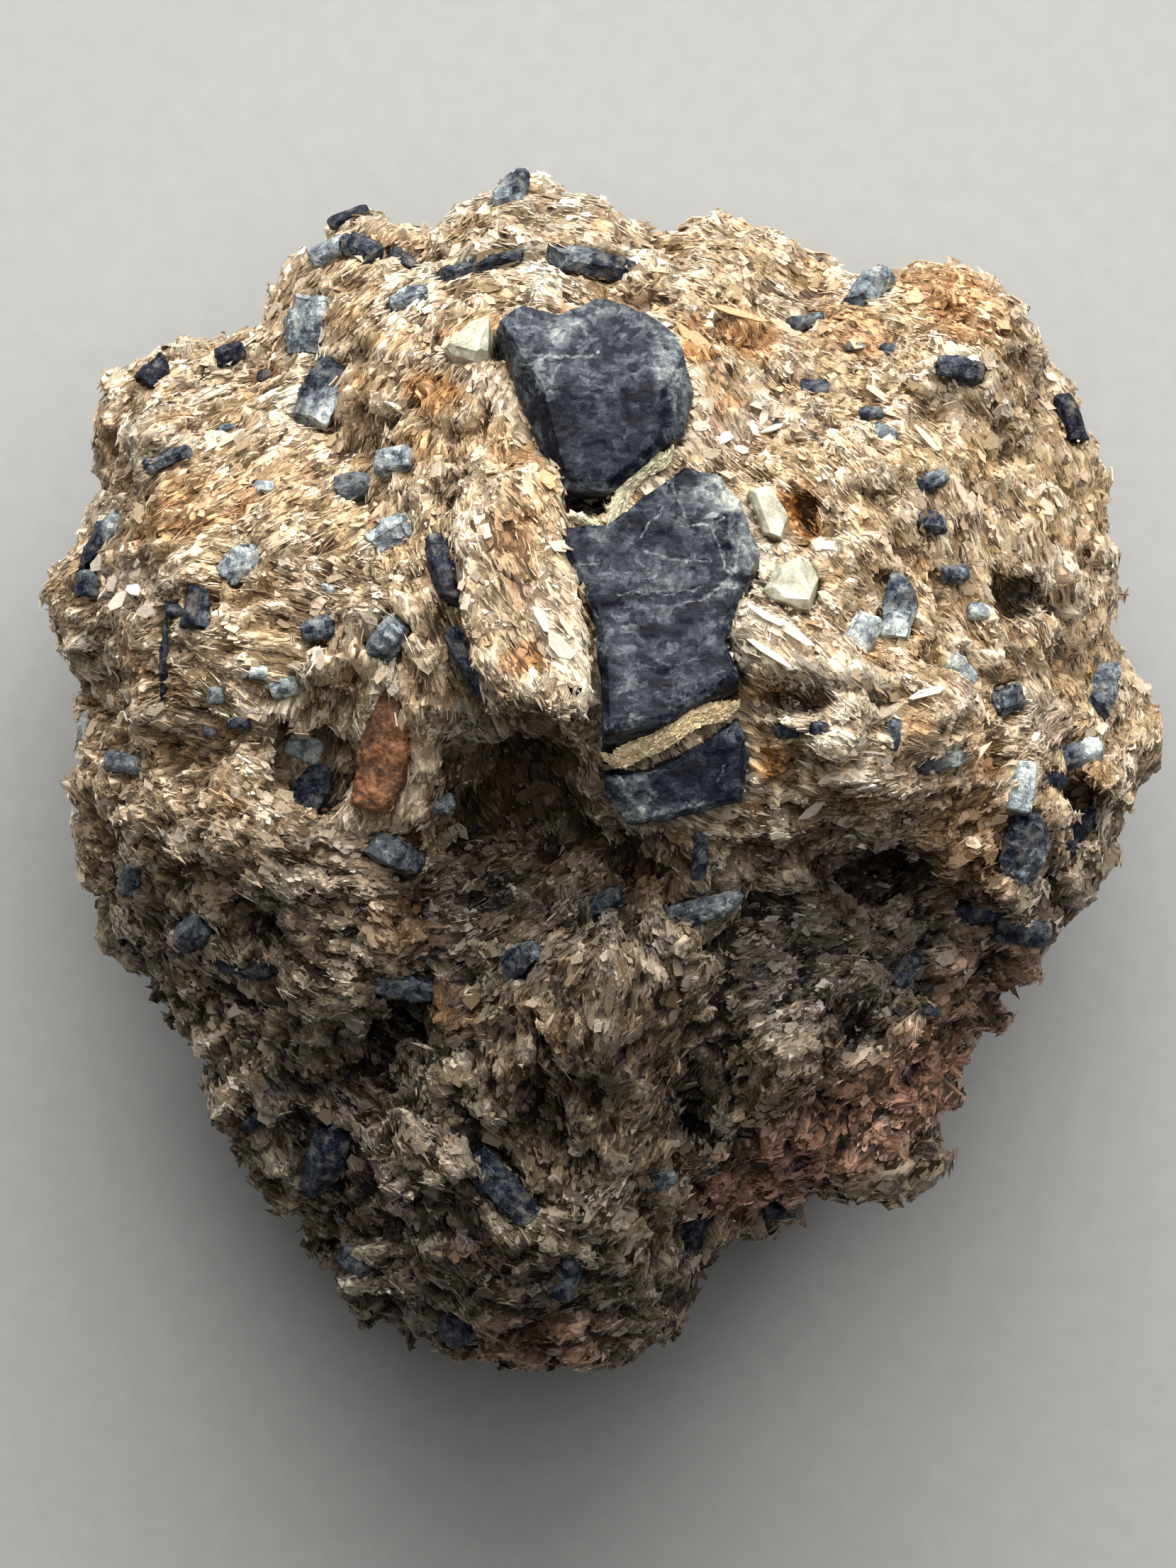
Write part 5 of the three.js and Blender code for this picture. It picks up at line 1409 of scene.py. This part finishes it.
class SPECIMEN_OT_stage(bpy.types.Operator):
    """Lays the pale floor and sets the soft lights and the camera"""
    bl_idname = "specimen.stage"
    bl_label = "Floor, Lights and Camera"

    def execute(self, context):
        look = context.scene.specimen_stage
        bm = bmesh.new()
        bmesh.ops.create_grid(bm, x_segments=8, y_segments=8, size=1.5)
        bmesh.ops.translate(bm, verts=bm.verts, vec=(0, 0, -0.1 * MM))
        mesh = mesh_of(bm, "floor")
        floor = bpy.data.objects.new("floor", mesh)
        context.scene.collection.objects.link(floor)
        mesh.materials.append(floor_finish())
        area_light("key", (0.14, 1.35, 0.80), (2.2, 1.0), look.key_power, look.light_colour)
        area_light("top", (0.1, 0.25, 0.9), (0.8, 0.8), look.top_power, look.light_colour)
        world = bpy.data.worlds.new("soft_room")
        world.use_nodes = True
        background = world.node_tree.nodes["Background"].inputs
        background["Color"].default_value = (*look.light_colour, 1.0)
        background["Strength"].default_value = look.room
        context.scene.world = world
        camera = bpy.data.objects.new("camera", bpy.data.cameras.new("camera"))
        context.scene.collection.objects.link(camera)
        camera.location = (*CAMERA_PLACE, FACE_HEIGHT + CAMERA_DISTANCE)
        camera.data.sensor_width = SENSOR
        camera.data.lens = SENSOR * CAMERA_DISTANCE / (PHOTO_HEIGHT / PIXELS_PER_MM * MM)
        camera.data.clip_start = 0.1
        camera.data.clip_end = 20
        context.scene.camera = camera
        context.scene.view_settings.view_transform = "Standard"
        context.scene.view_settings.look = "None"
        context.scene.view_settings.exposure = look.exposure
        return {"FINISHED"}


class SpecimenStone(bpy.types.PropertyGroup):
    """Sizes and colours of the stone"""
    stone_grid: FloatProperty(name="Stone grid", description="Size of the stone's mesh squares",
                              default=0.6 * MM, unit="LENGTH")
    roughness: FloatProperty(name="Roughness", description="How rough the broken faces are", default=1.0,
                             subtype="FACTOR")
    flakes: IntProperty(name="Flakes", description="How many mica flakes are set in the stone",
                        default=104000)
    mica_tint: FloatVectorProperty(name="Mica tint", default=(1.0, 1.0, 1.0), subtype="COLOR",
                                   description="Colour that the mica's own is multiplied by")
    sapphire_tint: FloatVectorProperty(name="Sapphire tint", default=(1.0, 1.0, 1.0), subtype="COLOR",
                                       description="Colour that the sapphires' own is multiplied by")


class SpecimenStage(bpy.types.PropertyGroup):
    """Light and exposure"""
    key_power: FloatProperty(name="Key light", description="Power of the light from the top", default=78.0,
                             unit="POWER")
    top_power: FloatProperty(name="Top light", description="Power of the soft light from above", default=5.5,
                             unit="POWER")
    room: FloatProperty(name="Room light", description="Strength of the light from all round", default=0.11,
                        subtype="FACTOR")
    light_colour: FloatVectorProperty(name="Light colour", description="Colour of all the light",
                                      default=(1.0, 0.98, 0.96), subtype="COLOR")
    exposure: FloatProperty(name="Exposure", description="Brightness of the picture in stops", default=0.0)


class SPECIMEN_PT_panel(bpy.types.Panel):
    """Lists the steps that build the specimen"""
    bl_label = "Sapphire Specimen"
    bl_idname = "SPECIMEN_PT_panel"
    bl_space_type = "VIEW_3D"
    bl_region_type = "UI"
    bl_category = "Specimen"

    def draw(self, context):
        for group in (context.scene.specimen_stone, context.scene.specimen_stage):
            for prop in group.bl_rna.properties.keys():
                if prop not in ("rna_type", "name"):
                    self.layout.prop(group, prop)
        for step in STEPS:
            self.layout.operator(step.bl_idname)


STEPS = (SPECIMEN_OT_schist, SPECIMEN_OT_large_sapphires, SPECIMEN_OT_small_sapphires,
         SPECIMEN_OT_set_crystals, SPECIMEN_OT_feldspar, SPECIMEN_OT_mica, SPECIMEN_OT_bold_flakes,
         SPECIMEN_OT_seams, SPECIMEN_OT_stage)
CLASSES = (SpecimenStone, SpecimenStage, *STEPS, SPECIMEN_PT_panel)


def register():
    for cls in CLASSES:
        bpy.utils.register_class(cls)
    bpy.types.Scene.specimen_stone = PointerProperty(type=SpecimenStone)
    bpy.types.Scene.specimen_stage = PointerProperty(type=SpecimenStage)


def unregister():
    del bpy.types.Scene.specimen_stage
    del bpy.types.Scene.specimen_stone
    for cls in reversed(CLASSES):
        bpy.utils.unregister_class(cls)


def main():
    register()
    crystals = [node for node in frame["nodes"] if node != "schist_lump"]
    for name, nodes in (("crystals", crystals), ("all", frame["nodes"])):
        bm = merged(nodes)
        STONE[name] = BVHTree.FromBMesh(bm)
        bm.free()
    bpy.ops.specimen.schist()
    bpy.ops.specimen.large_sapphires()
    bpy.ops.specimen.small_sapphires()
    bpy.ops.specimen.set_crystals()
    bpy.ops.specimen.feldspar()
    bpy.ops.specimen.mica()
    bpy.ops.specimen.bold_flakes()
    bpy.ops.specimen.seams()
    bpy.ops.specimen.stage()


if __name__ == "__main__":
    main()
